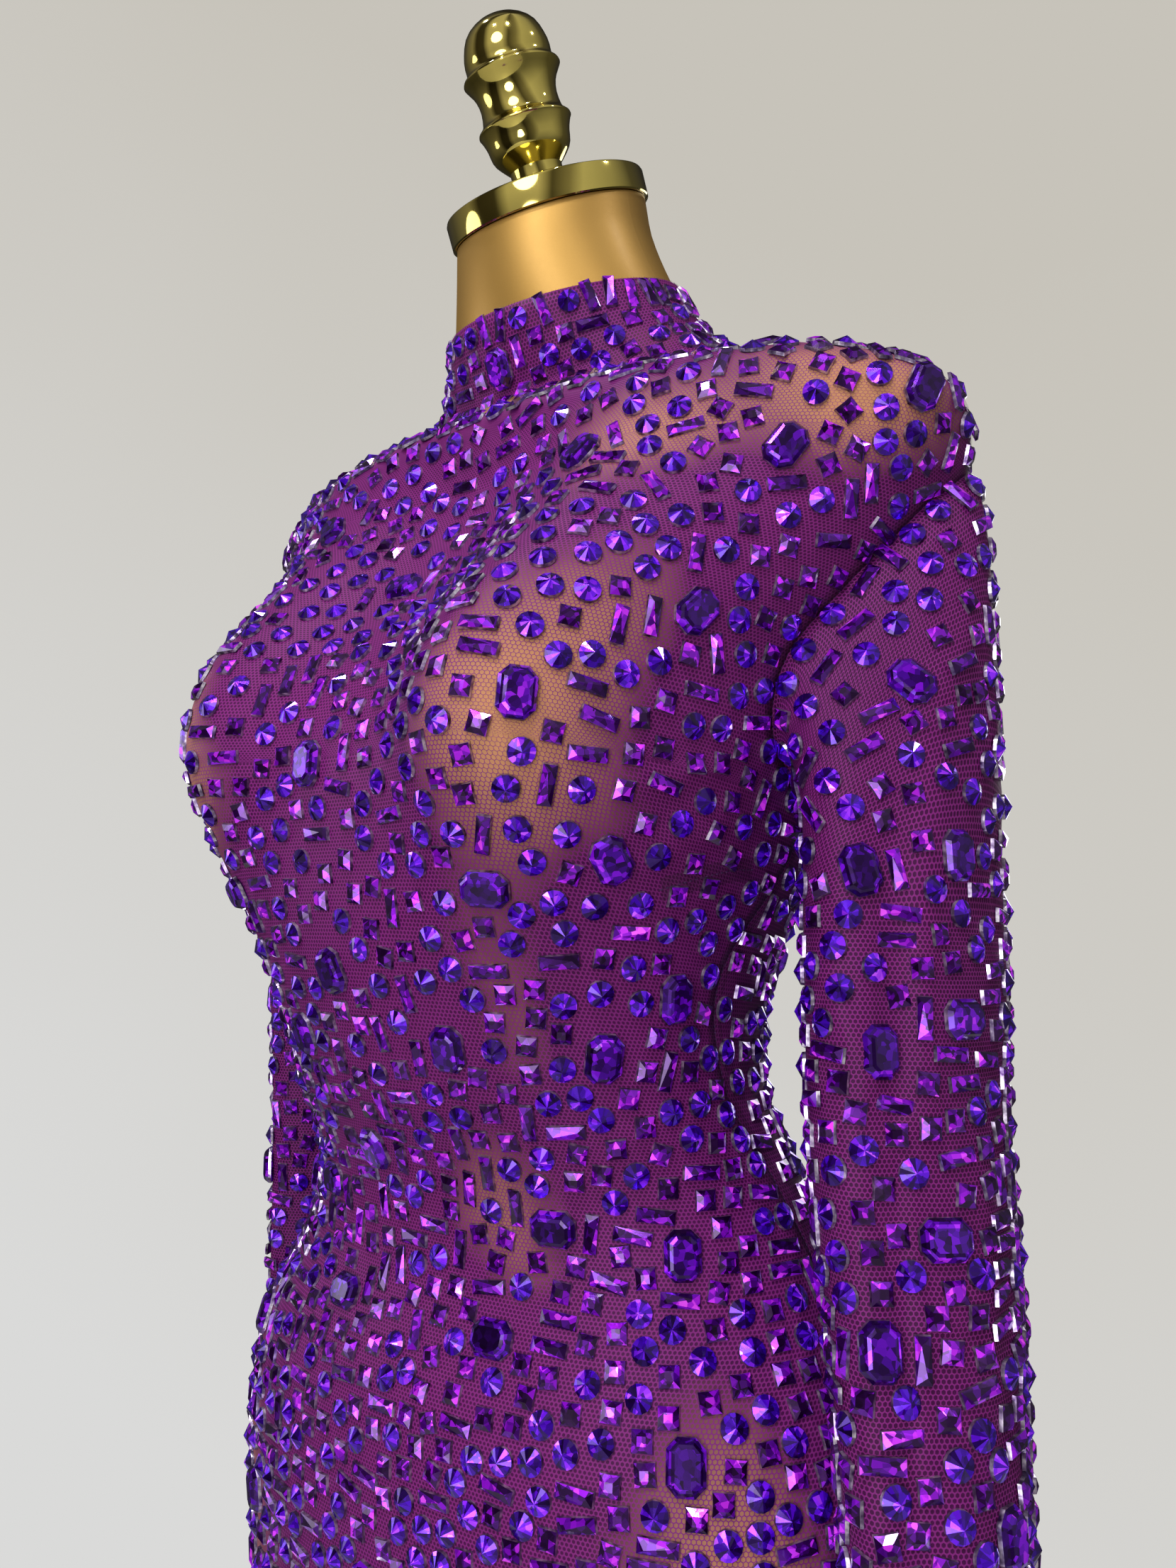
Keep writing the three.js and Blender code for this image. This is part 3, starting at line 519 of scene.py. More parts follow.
def cloth_piece(name, cloth, material):
    """A net piece. Its flat map is in metres: across is the distance round from the piece's middle, up
    is the mean distance from its lower edge."""
    rows, columns = cloth.points.shape[:2]
    quads, flat = grid_quads(rows, columns, cloth.closed)
    open_grid = np.concatenate([cloth.points, cloth.points[:, :1]], 1) if cloth.closed else cloth.points
    across = arc_lengths(open_grid, 1)
    across = across - across[:, across.shape[1] // 2][:, None] + 1000
    up = arc_lengths(open_grid, 0).mean(1, keepdims=True) + 0 * across + 1000
    uv = np.stack([across, up], -1).reshape(-1, 2)[flat.ravel()] * MM
    piece = make_piece(name, cloth.points.reshape(-1, 3), [quads], [material], corner_uv=uv)
    set_values(piece, "tight", "POINT", cloth.tight)
    thick = piece.modifiers.new("thickness", "SOLIDIFY")
    thick.thickness = NET_THICK * MM
    thick.offset = -1
    return piece


def closed_tube(name, points, material):
    """A closed solid from rings of points from its bottom up, with a fan of faces at each end."""
    rows, columns = points.shape[:2]
    quads, _ = grid_quads(rows, columns, True)
    c = np.arange(columns)
    beside, middle, last = (c + 1) % columns, np.full(columns, rows * columns), (rows - 1) * columns
    bottom = np.column_stack([middle, beside, c])
    top = np.column_stack([middle + 1, last + c, last + beside])
    points = np.concatenate([points.reshape(-1, 3), [points[0].mean(0), points[-1].mean(0)]])
    piece = make_piece(name, points, [quads, bottom, top], [material])
    piece.data.set_sharp_from_angle(angle=SHARP_ANGLE)
    return piece


def turned(name, profile, sides, material, matrix=Matrix.Identity(4), lift=0):
    """A turned solid: the profile's radius times the cosine and sine of the turn, at its height."""
    cos, sin = cos_sin(turns(sides))
    radius, z = np.array(profile[1:-1], float).T[..., None]
    points = np.stack([radius * cos, radius * sin, z + lift + 0 * cos], -1)
    points = points @ np.array(matrix.to_3x3()).T + np.array(matrix.translation) / MM
    return closed_tube(name, points, material)


def head_matrix():
    """Place and lean of the neck's flat top, in metres."""
    at = columns_at(SECTIONS, np.array(float(NECK_TOP_Z)))
    place = Matrix.Translation((0, at[SHIFT] * MM, NECK_TOP_Z * MM))
    return place @ Matrix.Rotation(math.radians(at[TILT]), 4, "X")


def smooth_line(knots, steps):
    """Catmull-Rom curve through the knots."""
    knots = np.array(knots, float)
    padded = np.concatenate([knots[:1], knots, knots[-1:]])
    at = np.linspace(0, len(knots) - 1, steps + 1)
    i = np.minimum(at.astype(int), len(knots) - 2)
    a, b, c, d = (padded[i + k] for k in range(4))
    return hermite(b, (c - a) / 2, c, (d - b) / 2, (at - i)[:, None]).tolist()


# Stones

def ring(outline, height, scale=1.0):
    outline = np.asarray(outline, float) * scale
    return np.column_stack([outline, np.full(len(outline), height)])


def cut_stone(rings, peaks, top_faces):
    """A closed stone: rings of one outline from its foot up, then faces over the last ring. A corner
    below the outline's count is on the last ring, and the peaks are numbered after them."""
    count = len(rings[0])
    points = np.concatenate([*rings, np.asarray(peaks, float).reshape(-1, 3)])
    faces = [tuple(range(count - 1, -1, -1))]
    side = [0]
    for k in range(len(rings) - 1):
        for i in range(count):
            j = (i + 1) % count
            faces.append((k * count + i, k * count + j, (k + 1) * count + j, (k + 1) * count + i))
            side.append(1 if k == 0 else 0)
    last = (len(rings) - 1) * count
    for face in top_faces:
        faces.append(tuple(last + i for i in face))
        side.append(0)
    return points, faces, np.array(side)


def small_stone(outline, peaks, top_faces, foot):
    return cut_stone([ring(outline, 0, foot), ring(outline, GIRDLE)], peaks, top_faces)


def round_stone():
    outline = np.column_stack(cos_sin(turns(ROUND_FACETS))) * ROUND_RADIUS
    top = [(i, (i + 1) % ROUND_FACETS, ROUND_FACETS) for i in range(ROUND_FACETS)]
    return small_stone(outline, [[0, 0, 4.2]], top, ROUND_FOOT)


def square_stone():
    h, w, p = SQUARE_HALF, SQUARE_WAIST, 1.7
    outline = [[h, h], [0, w], [-h, h], [-w, 0], [-h, -h], [0, -w], [h, -h], [w, 0]]
    peaks = [[p, p, 3.0], [-p, p, 3.0], [-p, -p, 3.0], [p, -p, 3.0]]
    top = [(8, 9, 10, 11)]
    for i in range(4):
        a, b = 8 + i, 8 + (i + 1) % 4
        top += [(2 * i, 2 * i + 1, a), (2 * i + 1, b, a), (2 * i + 1, (2 * i + 2) % 8, b)]
    return small_stone(outline, peaks, top, OTHER_FOOT)


def baguette_stone():
    w, h = BAGUETTE_HALF_WIDE, BAGUETTE_HALF_LONG
    outline = [[w, h], [-w, h], [-w, -h], [w, -h]]
    peaks = [[-0.9, 5.0, 2.9], [0.9, -5.0, 2.9]]
    top = [(0, 1, 4), (1, 2, 4), (2, 5, 4), (2, 3, 5), (3, 0, 5), (0, 4, 5)]
    return small_stone(outline, peaks, top, OTHER_FOOT)


def octagon_outline(inset):
    w, h = (OCTAGON_WIDE - inset) / 2, (OCTAGON_LONG - inset) / 2
    corner = OCTAGON_CORNER - inset * 0.3
    return [[w, h - corner], [w - corner, h], [corner - w, h], [-w, h - corner],
            [-w, corner - h], [corner - w, -h], [w - corner, -h], [w, corner - h]]


def octagon_stone():
    """Step cut: three bevels from the straight side up to a flat table."""
    steps = [(-0.4, 0), (0, 1.6), (2.4, 3.4), (4.2, 4.4), (6.8, 4.9)]
    return cut_stone([ring(octagon_outline(inset), z) for inset, z in steps], [], [tuple(range(8))])


def place_solids(shapes):
    """Joined copies of small solids. Each shape is a template and arrays of places and directions, and
    a copy's point is place + x * side + y * along + z * out."""
    points, groups, marks, first = [], {}, {}, 0
    for (template, faces, side_faces), place, side, along, out in shapes:
        copies, size = len(place), len(template)
        if not copies:
            continue
        points.append((place[:, None] + template @ np.stack([side, along, out], 1)).reshape(-1, 3))
        starts = first + size * np.arange(copies)
        for corners in sorted({len(face) for face in faces}):
            chosen = [i for i, face in enumerate(faces) if len(face) == corners]
            cut = np.array([faces[i] for i in chosen])
            groups.setdefault(corners, []).append((starts[:, None, None] + cut).reshape(-1, corners))
            marks.setdefault(corners, []).append(np.tile(side_faces[chosen], copies))
        first += size * copies
    order = sorted(groups)
    return (np.concatenate(points), [np.concatenate(groups[k]) for k in order],
            np.concatenate([np.concatenate(marks[k]) for k in order]))


def free_places(middles, reach, gaps, taken, ahead):
    """Walks over the stones in order, keeps each that is still free and strikes off those among the
    next ones that would come nearer to it than its gap. A stone is three circles in a row."""
    free = np.full(len(middles), True)
    for place in taken:
        free &= np.linalg.norm(middles - place, axis=2).min(1) > reach + OCTAGON_REACH + gaps
    kept = []
    for i in range(len(middles)):
        if not free[i]:
            continue
        kept.append(i)
        after = slice(i + 1, i + 1 + ahead)
        apart = middles[after, :, None] - middles[i][None, None]
        far = np.sqrt((apart ** 2).sum(-1)).min((1, 2))
        free[after] &= far > reach[after] + reach[i] + gaps[i]
    return np.array(kept, int)


def gap_at(z):
    """Net left between the stones: little at the collar and hips, more over the bust."""
    return np.interp(z, [HEM_Z, 900, 1000, 1100, 1180, 1290, 1380, 1400, 1410, COLLAR_TOP_Z],
                     [1.5, 1.5, 1.8, 2.6, 3.8, 3.2, 2.2, 1.6, 0.9, 0.9])


def round_share(z):
    """Share of round stones: more of them over the bust than at the hips."""
    return np.interp(z, [1000, 1180, 1300], [0.37, 0.5, 0.46])


def scattered(cloth, octagons, random, spacing, loose_above):
    """Templates and places of the stones on a cloth: small ones of three cuts, laid along or across it
    and turned freely above a height, and the octagons, which come last and stay where they are."""
    keep = np.full(cloth.points.shape[:2], True)
    for axis in (0,) if cloth.closed else (0, 1):
        run = arc_lengths(cloth.points, axis)
        keep &= (run > EDGE_MARGIN) & (run.max(axis, keepdims=True) - run > EDGE_MARGIN)
    order = np.flatnonzero(keep.ravel())[::-1]
    place, out, across = (a.reshape(-1, 3)[order] for a in (cloth.points, cloth.normals, cloth.across))
    count, z = len(order), place[:, 2]
    draw, rounds = random.random(count), round_share(z)
    squares = rounds + (1 - rounds) * SQUARE_SHARE
    kinds = np.where(draw < rounds, 0, np.where(draw < squares, 1, BAGUETTE))
    on_collar = z > NECK_SEAM_SIDE + 8
    upright = random.random(count) < np.where(on_collar, COLLAR_UPRIGHT, UPRIGHT)
    turn = random.normal(0, TURN_SPREAD, count) + np.where(upright, 0, 90)
    loose = random.uniform(-LOOSE_TURN, LOOSE_TURN, count)
    turn += np.where((z > loose_above) & ~on_collar, loose, 0)
    side, along = turned_pair(across, out, turn)
    ends = (kinds == BAGUETTE)[:, None, None] * ALONG_BAGUETTE[:, None]
    middles = place[:, None] + along[:, None] * ends
    gaps = gap_at(z) * spacing * random.uniform(0.5, 1.5, count)
    taken = [spot + long_way * shift for spot, _, long_way, _ in octagons
             for shift in (-OCTAGON_SHIFT, OCTAGON_SHIFT)]
    chosen = free_places(middles, REACH[kinds], gaps, taken, ROWS_AHEAD * cloth.points.shape[1])
    shapes = []
    for k, cut in enumerate((round_stone, square_stone, baguette_stone)):
        some = chosen[kinds[chosen] == k]
        shapes.append((cut(), place[some], side[some], along[some], out[some]))
    shapes.append((octagon_stone(), *[np.array(column) for column in zip(*octagons)]))
    return shapes


def turned_pair(across, out, turn):
    """Two directions in the cloth, turned by degrees from the row's own."""
    along = np.cross(out, across)
    cos, sin = (value[..., None] for value in cos_sin(turn))
    return across * cos + along * sin, along * cos - across * sin


def octagons_on(surface, table, step=1):
    """Points and directions of octagons at a table's places, heights and turns. surface gives the
    cloth's point at a place and height, and step is the degrees to a point beside it."""
    placed = []
    for place, z, turn in table:
        across = surface(place + step, z) - surface(place - step, z)
        out = unit(np.cross(across, surface(place, z + 1) - surface(place, z - 1)))
        placed.append((surface(place, z), *turned_pair(unit(across), out, turn), out))
    return placed


def panel_surface(place, nominal):
    return net_point(place, row_z(nominal, place))


def staggered(levels, count, start):
    """Octagons in rows, each half a step on from the last, and turned one way, then the other."""
    return [[start + STAGGER_STEP * (i + (r % 2) / 2), z, STAGGER_TURN if (i + r) % 2 else 90 - STAGGER_TURN]
            for r, z in enumerate(levels) for i in range(count)]


def sleeve_octagons(path, cloth):
    """Octagons of the tube, and those of the head, at the cloth's points nearest to a line straight up."""
    def tube(place, z):
        return tube_point(path, np.array(float(place)), np.array(float(z)))
    placed = octagons_on(tube, SLEEVE_OCTAGONS, -2)
    for place, z, turn in HEAD_OCTAGONS:
        wanted = tube(place, ARM_Z) + [0, 0, z - ARM_Z]
        i = np.linalg.norm(cloth.points - wanted, axis=-1).argmin()
        point, out, across = (a.reshape(-1, 3)[i] for a in (cloth.points, cloth.normals, cloth.across))
        placed.append((point, *turned_pair(across, out, turn), out))
    return placed


def stones_piece(name, shapes, random, mirror):
    """All the stones on a cloth. A face's mark is odd on a cut side, and half of it is the stone's kind."""
    shapes = [((points, faces, side + 2 * k), *rest)
              for k, ((points, faces, side), *rest) in enumerate(shapes)]
    points, groups, marks = place_solids(shapes)
    if mirror:
        points = points * [-1, 1, 1]
        groups = [group[:, ::-1] for group in groups]
    piece = make_piece(name, points, groups, [acrylic(), foil()], True, face_material=marks % 2)
    # Painted light: each face gets a random flash, less bright on the octagons; its tint is the cut's own
    # colour
    set_values(piece, "flash", "FACE", random.random(len(marks)) * CALM[marks // 2])
    set_values(piece, "tint", "FACE", TINTS[marks // 2])
    return piece


# Sewing

def seam_paths():
    """Lines of sewing, as points and normals: armholes, side and shoulder seams, darts and neck seam."""
    around = spread(0, 360, 1.5)
    side, shoulder = spread(HEM_Z, ARMHOLE_BOTTOM, 4), spread(ARMHOLE_TOP, NECK_SEAM_SIDE, 3)
    dart = spread(0, 1, 0.05)
    one_side = [armhole(around), (seam_angle(side), side), (seam_angle(shoulder), shoulder),
                (1 - 19 * dart, 1154 - 16 * dart)]
    paths = one_side + [(180 - places, z) for places, z in one_side] + [(around, neck_seam_z(around))]
    return [(net_point(a, z, NET_OUT + 0.15), body_normal(a, z)) for a, z in paths]


def along_path(points, normals, step):
    """Even places on a path with their directions: along it, square to it in the cloth, and outwards."""
    run = np.concatenate([[0], np.cumsum(np.linalg.norm(np.diff(points, axis=0), axis=1))])
    at = spread(0, run[-1], step)
    at = (at[1:] + at[:-1]) / 2
    place, out, along = (np.column_stack([np.interp(at, run, column) for column in values.T])
                         for values in (points, normals, np.gradient(points, run, axis=0)))
    out = unit(out)
    side = unit(np.cross(unit(along), out))
    return place, side, np.cross(out, side), out


def spindle(long, wide, high):
    """A small eight sided spindle along y, such as a stitch."""
    waist = [[-wide, 0, 0], [0, 0, high], [wide, 0, 0], [0, 0, -high]]
    points = np.array([[0, -long, 0], *waist, [0, long, 0]], float)
    faces = [(0, 1 + i, 1 + (i + 1) % 4) for i in range(4)] + [(5, 1 + (i + 1) % 4, 1 + i) for i in range(4)]
    return points, faces, np.zeros(8, int)


def joined_piece(name, shapes):
    points, groups, _ = place_solids(shapes)
    make_piece(name, points, groups, [sewing_thread()])


# Finishes

def linear(colour):
    """An sRGB hex colour as linear red, green and blue, with alpha 1."""
    parts = [int(colour[i:i + 2], 16) / 255 for i in (1, 3, 5)]
    return tuple(c / 12.92 if c <= 0.04045 else ((c + 0.055) / 1.055) ** 2.4 for c in parts) + (1.0,)


class Tree:
    """A node tree and the nodes that the finishes use. An input is a value or another node's output."""

    def __init__(self, nodes, place):
        self.tree = nodes
        nodes.nodes.clear()
        self.place = self.node("TexCoord", {}).outputs[place]

    def node(self, kind, inputs, **settings):
        made = self.tree.nodes.new("ShaderNode" + kind)
        for key, value in settings.items():
            setattr(made, key, value)
        for key, value in inputs.items():
            if isinstance(value, bpy.types.NodeSocket):
                self.tree.links.new(value, made.inputs[key])
            else:
                made.inputs[key].default_value = value
        return made

    def math(self, operation, *inputs, **settings):
        return self.node("Math", dict(enumerate(inputs)), operation=operation, **settings).outputs[0]

    def vector(self, operation, *inputs):
        made = self.node("VectorMath", dict(enumerate(inputs)), operation=operation)
        return made.outputs["Value" if operation in ("LENGTH", "DOT_PRODUCT") else "Vector"]

    def between(self, value, low=0.0, high=1.0, to_low=0.0, to_high=1.0, **settings):
        """A value that goes from to_low to to_high while the given one goes from low to high."""
        inputs = dict(enumerate((value, low, high, to_low, to_high)))
        return self.node("MapRange", inputs, **settings).outputs[0]

    def noise(self, scale, detail):
        return self.node("TexNoise", {"Scale": scale, "Detail": detail, 0: self.place}).outputs[0]

    def attribute(self, name):
        return self.node("Attribute", {}, attribute_name=name).outputs["Fac"]

    def relief(self, height, strength, distance):
        return self.node("Bump", {"Strength": strength, "Distance": distance, "Height": height}).outputs[0]

    def mix(self, share, first, second):
        """A colour between two, each a hex colour, a setting's colour or an output."""
        inputs = {0: share}
        for key, colour in ((6, first), (7, second)):
            if isinstance(colour, str):
                colour = linear(colour)
            elif not isinstance(colour, bpy.types.NodeSocket):
                colour = (*colour, 1.0)
            inputs[key] = colour
        return self.node("Mix", inputs, data_type="RGBA").outputs[2]

    def ramp(self, source, stops):
        made = self.node("ValToRGB", {0: source})
        elements = made.color_ramp.elements
        while len(elements) < len(stops):
            elements.new(0.5)
        for element, (position, colour) in zip(elements, stops):
            element.position = position
            element.color = linear(colour)
        return made.outputs[0]


def material(name, build):
    """The material of that name. The first time, build takes its tree and gives its shader's inputs."""
    made = bpy.data.materials.get(name)
    if made is None:
        made = bpy.data.materials.new(name)
        made.use_nodes = True
        tree = Tree(made.node_tree, "Object")
        shader = tree.node("BsdfPrincipled", build(tree))
        tree.node("OutputMaterial", {0: shader.outputs[0]})
    return made


def stretch_net(settings, name, painted_shade_cover, painted_tight_hole_colour):
    """Nylon stretch net, warp knitted: hexagonal holes between fine matt threads. Where it is slack, its
    holes are nearly filled with a dark colour, painted shade of what lies behind the net. Where it is
    stretched, the holes open and partly show what is behind, and the rest of each is painted peach, painted
    light of the lit gold under the net; on the hollow sleeves it is the same painted shade. The holes are 1.9
    mm apart, as on the real net."""
    def build(tree):
        flat = tree.node("UVMap", {}, uv_map="cut").outputs[0]
        scaled = tree.node("VectorMath", {0: flat, "Scale": 1 / settings.hole_pitch}, operation="SCALE")
        repeat, half = (1, 3 ** 0.5, 1), (0.5, 3 ** 0.5 / 2, 0)
        offsets = []
        for shift in ((0, 0, 0), half):
            moved = tree.vector("SUBTRACT", scaled.outputs[0], shift)
            centred = tree.vector("SUBTRACT", tree.vector("MODULO", moved, repeat), half)
            offsets.append((centred, tree.vector("LENGTH", centred)))
        (first, first_long), (second, second_long) = offsets
        nearer = tree.math("LESS_THAN", first_long, second_long)
        cell = tree.node("Mix", {0: nearer, 4: second, 5: first}, data_type="VECTOR").outputs[1]
        positive = tree.vector("ABSOLUTE", cell)
        x = tree.node("SeparateXYZ", {0: positive}).outputs[0]
        edge = tree.math("MAXIMUM", tree.vector("DOT_PRODUCT", positive, half), x)

        drift = tree.between(tree.noise(16, 3), 0.3, 0.7, -0.12, 0.12)
        opened = tree.math("ADD", tree.attribute("tight"), drift, use_clamp=True)
        hole = tree.between(opened, to_low=0.30, to_high=0.44)
        soft = tree.math("ADD", hole, 0.05)
        thread = tree.between(edge, hole, soft, interpolation_type="SMOOTHSTEP")
        shown = tree.between(opened, to_low=painted_shade_cover, to_high=0.42)
        # Colour in the holes: painted shade where the net is slack, painted light of the lit gold where it is
        # tight
        behind = tree.mix(tree.between(opened, 0.14, 0.9), settings.painted_shade_colour, painted_tight_hole_colour)
        return {
            "Base Color": tree.mix(thread, behind, settings.thread_colour),
            "Alpha": tree.between(thread, to_low=shown),
            "Normal": tree.relief(edge, 0.5, 0.0002),
            "Roughness": 0.55,
            "Specular IOR Level": 0.1,
            "IOR": 1.53,
        }
    return material(name, build)


def sewing_net():
    """The same net, doubled in a seam: nearly closed, darker, with the knit's fine ribs 0.9 mm apart."""
    def build(tree):
        inputs = {"Scale": 1100, 0: tree.place}
        ribs = tree.node("TexVoronoi", inputs, feature="DISTANCE_TO_EDGE").outputs[0]
        return {
            # The doubled net's colour mixes a dark violet with the net's painted shade colour
            "Base Color": tree.mix(ribs, "#3c1038", bpy.context.scene.dress_net.painted_shade_colour),
            "Alpha": tree.between(ribs, 0.15, 0.4, 0.3, 0.08),
            "Roughness": 0.65,
        }
    return material("doubled_stretch_net", build)


def acrylic():
    """Cast acrylic stone, from blue violet to plum by its tint, with mirror foil behind: a dark body and a
    clear gloss
    on top. Its flashes are painted light: bright spots 2.6 mm wide and brighter faces at random, painted into
    its colour and given off as light though it is no lamp, in place of the light that the back facets send
    out."""
    settings = bpy.context.scene.dress_stones

    def build(tree):
        inputs = {"Scale": 1 / settings.flash_size, 0: tree.place}
        spots = tree.node("TexVoronoi", inputs).outputs["Color"]
        cell = tree.node("SeparateColor", {0: spots}).outputs[0]
        spot = tree.math("MULTIPLY", cell, 0.5)
        # Painted light: each face's random flash and a random spot lift the colour from the dark body to
        # bright violet and pink
        level = tree.math("MULTIPLY_ADD", tree.attribute("flash"), 0.5, spot)
        blue, plum, blue_glow, plum_glow = (tree.ramp(level, stops) for stops in (
            [(0.0, "#18032c"), (0.3, "#2a0460"), (0.5, "#3e0698"), (0.66, "#540cc8"), (0.84, "#801cec"),
             (0.97, "#d470ff")],
            [(0.0, "#1a0226"), (0.35, "#2e0646"), (0.58, "#4a0a78"), (0.72, "#6e0eb0"), (0.86, "#a01cd8"),
             (0.97, "#f070ff")],
            [(0.0, "#0a0018"), (0.45, "#16023e"), (0.62, "#2c0494"), (0.76, "#5a0cdc"), (0.92, "#b840ff")],
            [(0.0, "#0a0010"), (0.44, "#1c022e"), (0.6, "#50068c"), (0.76, "#9a10d8"), (0.92, "#f040ff")],
        ))
        tint = tree.attribute("tint")
        return {
            "Base Color": tree.mix(tint, blue, plum),
            # Painted light: the stones give off light, most on the painted flashes, though they are no lamp
            "Emission Color": tree.mix(tint, blue_glow, plum_glow),
            "Emission Strength": settings.flash_strength,
            "Metallic": 0.85,
            "Roughness": 0.14,
            "IOR": 1.49,
            "Coat Weight": 0.35,
            "Coat Roughness": 0.04,
        }
    return material("violet_cast_acrylic", build)


def foil():
    """Silver mirror foil, seen at the stone's cut side through a thin violet edge."""
    def build(tree):
        stops = [(0.3, "#3a2050"), (0.5, "#9484a4"), (0.68, "#e4dcea")]
        return {"Base Color": tree.ramp(tree.noise(300, 2), stops), "Metallic": 0.9, "Roughness": 0.28}
    return material("silver_foil_edge", build)


def sewing_thread():
    """Spun polyester sewing thread, dark violet, matt with a fine twist 0.5 mm long."""
    def build(tree):
        stops = [(0.35, "#2a0a38"), (0.65, "#4c1a60")]
        return {"Base Color": tree.ramp(tree.noise(2000, 1), stops), "Roughness": 0.7}
    return material("spun_polyester_thread", build)


def gold_lacquer(settings):
    """Satin gold lacquer, sprayed on the form's shell: metal flake under a soft clear coat, with a faint
    orange peel 2 mm wide and slow clouds of warmer and cooler gold."""
    def build(tree):
        return {
            "Base Color": tree.mix(tree.noise(9, 4), settings.lacquer, settings.lacquer_shade),
            "Roughness": tree.between(tree.noise(1800, 1), 0.3, 0.7, 0.44, 0.54),
            "Normal": tree.relief(tree.noise(500, 2), 0.08, 0.0003),
            "Metallic": 0.8,
            "Coat Weight": 0.15,
            "Coat Roughness": 0.3,
        }
    return material("satin_gold_lacquer", build)


def gold_plate(settings):
    """Gold plated brass, polished: mirror bright, with faint smears and a little tarnish."""
    def build(tree):
        smear = tree.noise(38, 5)
        return {
            "Base Color": tree.mix(smear, settings.plate, settings.plate_shade),
            "Roughness": tree.between(smear, 0.4, 0.75, 0.05, 0.13),
            "Metallic": 1.0,
        }
    return material("polished_gold_plate", build)


def studio_floor(settings):
    """Matt painted floor with slow pale clouds."""
    def build(tree):
        return {"Base Color": tree.mix(tree.noise(1.5, 3), settings.floor, "#c2c0ba"), "Roughness": 0.8}
    return material("matt_studio_floor", build)


def pale_room(settings):
    """The room: a pale wall for the camera, painted lighter towards the floor and the front left as light
    falls on it, with slow clouds, and what the gold mirrors, with windows and dark gaps by the turn round the
    room, dimmer towards the floor."""
    world = bpy.data.worlds.new("pale_room")
    world.use_nodes = True
    tree = Tree(world.node_tree, "Generated")
    # Painted light on the wall: lighter along this slope, as light falls on it, plus slow random clouds
    slope = tree.vector("DOT_PRODUCT", tree.place, (-0.35, -0.3, -0.9))
    painted_light_and_clouds = tree.math("MULTIPLY_ADD", tree.noise(1.6, 2), 0.5, slope)
    wall = tree.mix(tree.between(painted_light_and_clouds, -0.3, 0.7), settings.wall, "#dadad9")
    sides = tree.node("SeparateXYZ", {0: tree.place}).outputs
    turn = tree.between(tree.math("ARCTAN2", sides[1], sides[0]), -math.pi, math.pi)
    around = tree.ramp(turn, [
        (0.0, "#56544e"), (0.1, "#98948e"), (0.14, "#3a3630"), (0.2, "#46423c"), (0.24, "#dcd8d0"),
        (0.33, "#e4e0da"), (0.37, "#5a5650"), (0.42, "#96928c"), (0.46, "#dad8d2"), (0.56, "#b8b6b0"),
        (0.66, "#605e58"), (0.8, "#302e2a"), (0.92, "#34322e"), (1.0, "#56544e"),
    ])
    lower = tree.between(sides[2], -0.6, 0.1, 0.35)
    seen = tree.node("Background", {0: wall}).outputs[0]
    felt = tree.node("Background", {0: around, 1: lower}).outputs[0]
    camera_ray = tree.node("LightPath", {}).outputs["Is Camera Ray"]
    both = tree.node("MixShader", {0: camera_ray, 1: felt, 2: seen})
    tree.node("OutputWorld", {0: both.outputs[0]})
    return world


# Sizes and colours that a user would change

def colour_value(name, description, default):
    return bpy.props.FloatVectorProperty(
        name=name, description=description, subtype="COLOR", size=3, min=0, max=1,
        default=linear(default)[:3])


def small_length(name, description, default):
    return bpy.props.FloatProperty(
        name=name, description=description, unit="LENGTH", default=default, min=0.0005, max=0.01, precision=4)


def share_value(name, description, default, low, high):
    return bpy.props.FloatProperty(
        name=name, description=description, subtype="FACTOR", default=default, min=low, max=high)


class NetSettings(bpy.types.PropertyGroup):
    thread_colour: colour_value("Thread", "Colour of the net's threads", "#6e2068")
    # Painted shade: the dark colour that fills the net's holes where it is slack, in place of the shaded form
    # and sleeve insides behind it
    painted_shade_colour: colour_value("Film", "Colour between the threads where the net is slack", "#420c40")
    # Painted light: the peach colour put in the holes where the net is tight, in place of the lit gold behind
    # them
    painted_gold_light_colour: colour_value("Glow", "Colour in the holes where the net is tight on the gold", "#d89a70")
    hole_pitch: small_length("Hole spacing", "Distance between the net's holes", 0.0019)
    # Slack cover: how much of a hole the painted shade colour fills where the net is slack
    slack_cover: share_value("Slack cover", "How much a hole is closed where the net is slack", 0.96, 0, 1)


class StoneSettings(bpy.types.PropertyGroup):
    # Painted flashes of the stones: width of the painted bright spots, and brightness of the light they give
    # off
    flash_size: small_length("Flash size", "Width of the bright spots inside a stone", 0.0026)
    flash_strength: share_value("Flash strength", "Brightness of the spots", 0.55, 0, 10)
    spacing: share_value("Spacing", "Share of the usual gap between stones", 1, 0.9, 2)


class FormSettings(bpy.types.PropertyGroup):
    lacquer: colour_value("Lacquer", "Colour of the form's lacquer", "#ae8846")
    lacquer_shade: colour_value("Lacquer shade", "Second colour of the lacquer", "#987434")
    plate: colour_value("Plate", "Colour of the polished gold", "#cdbd68")
    plate_shade: colour_value("Plate shade", "Second colour of the polished gold", "#b3a254")


class StudioSettings(bpy.types.PropertyGroup):
    wall: colour_value("Background", "Colour behind the dress", "#c7c3ba")
    floor: colour_value("Floor", "Colour of the floor", "#cfcdc6")
    light: share_value("Light", "Share of the usual light", 1, 0, 10)


# Operators

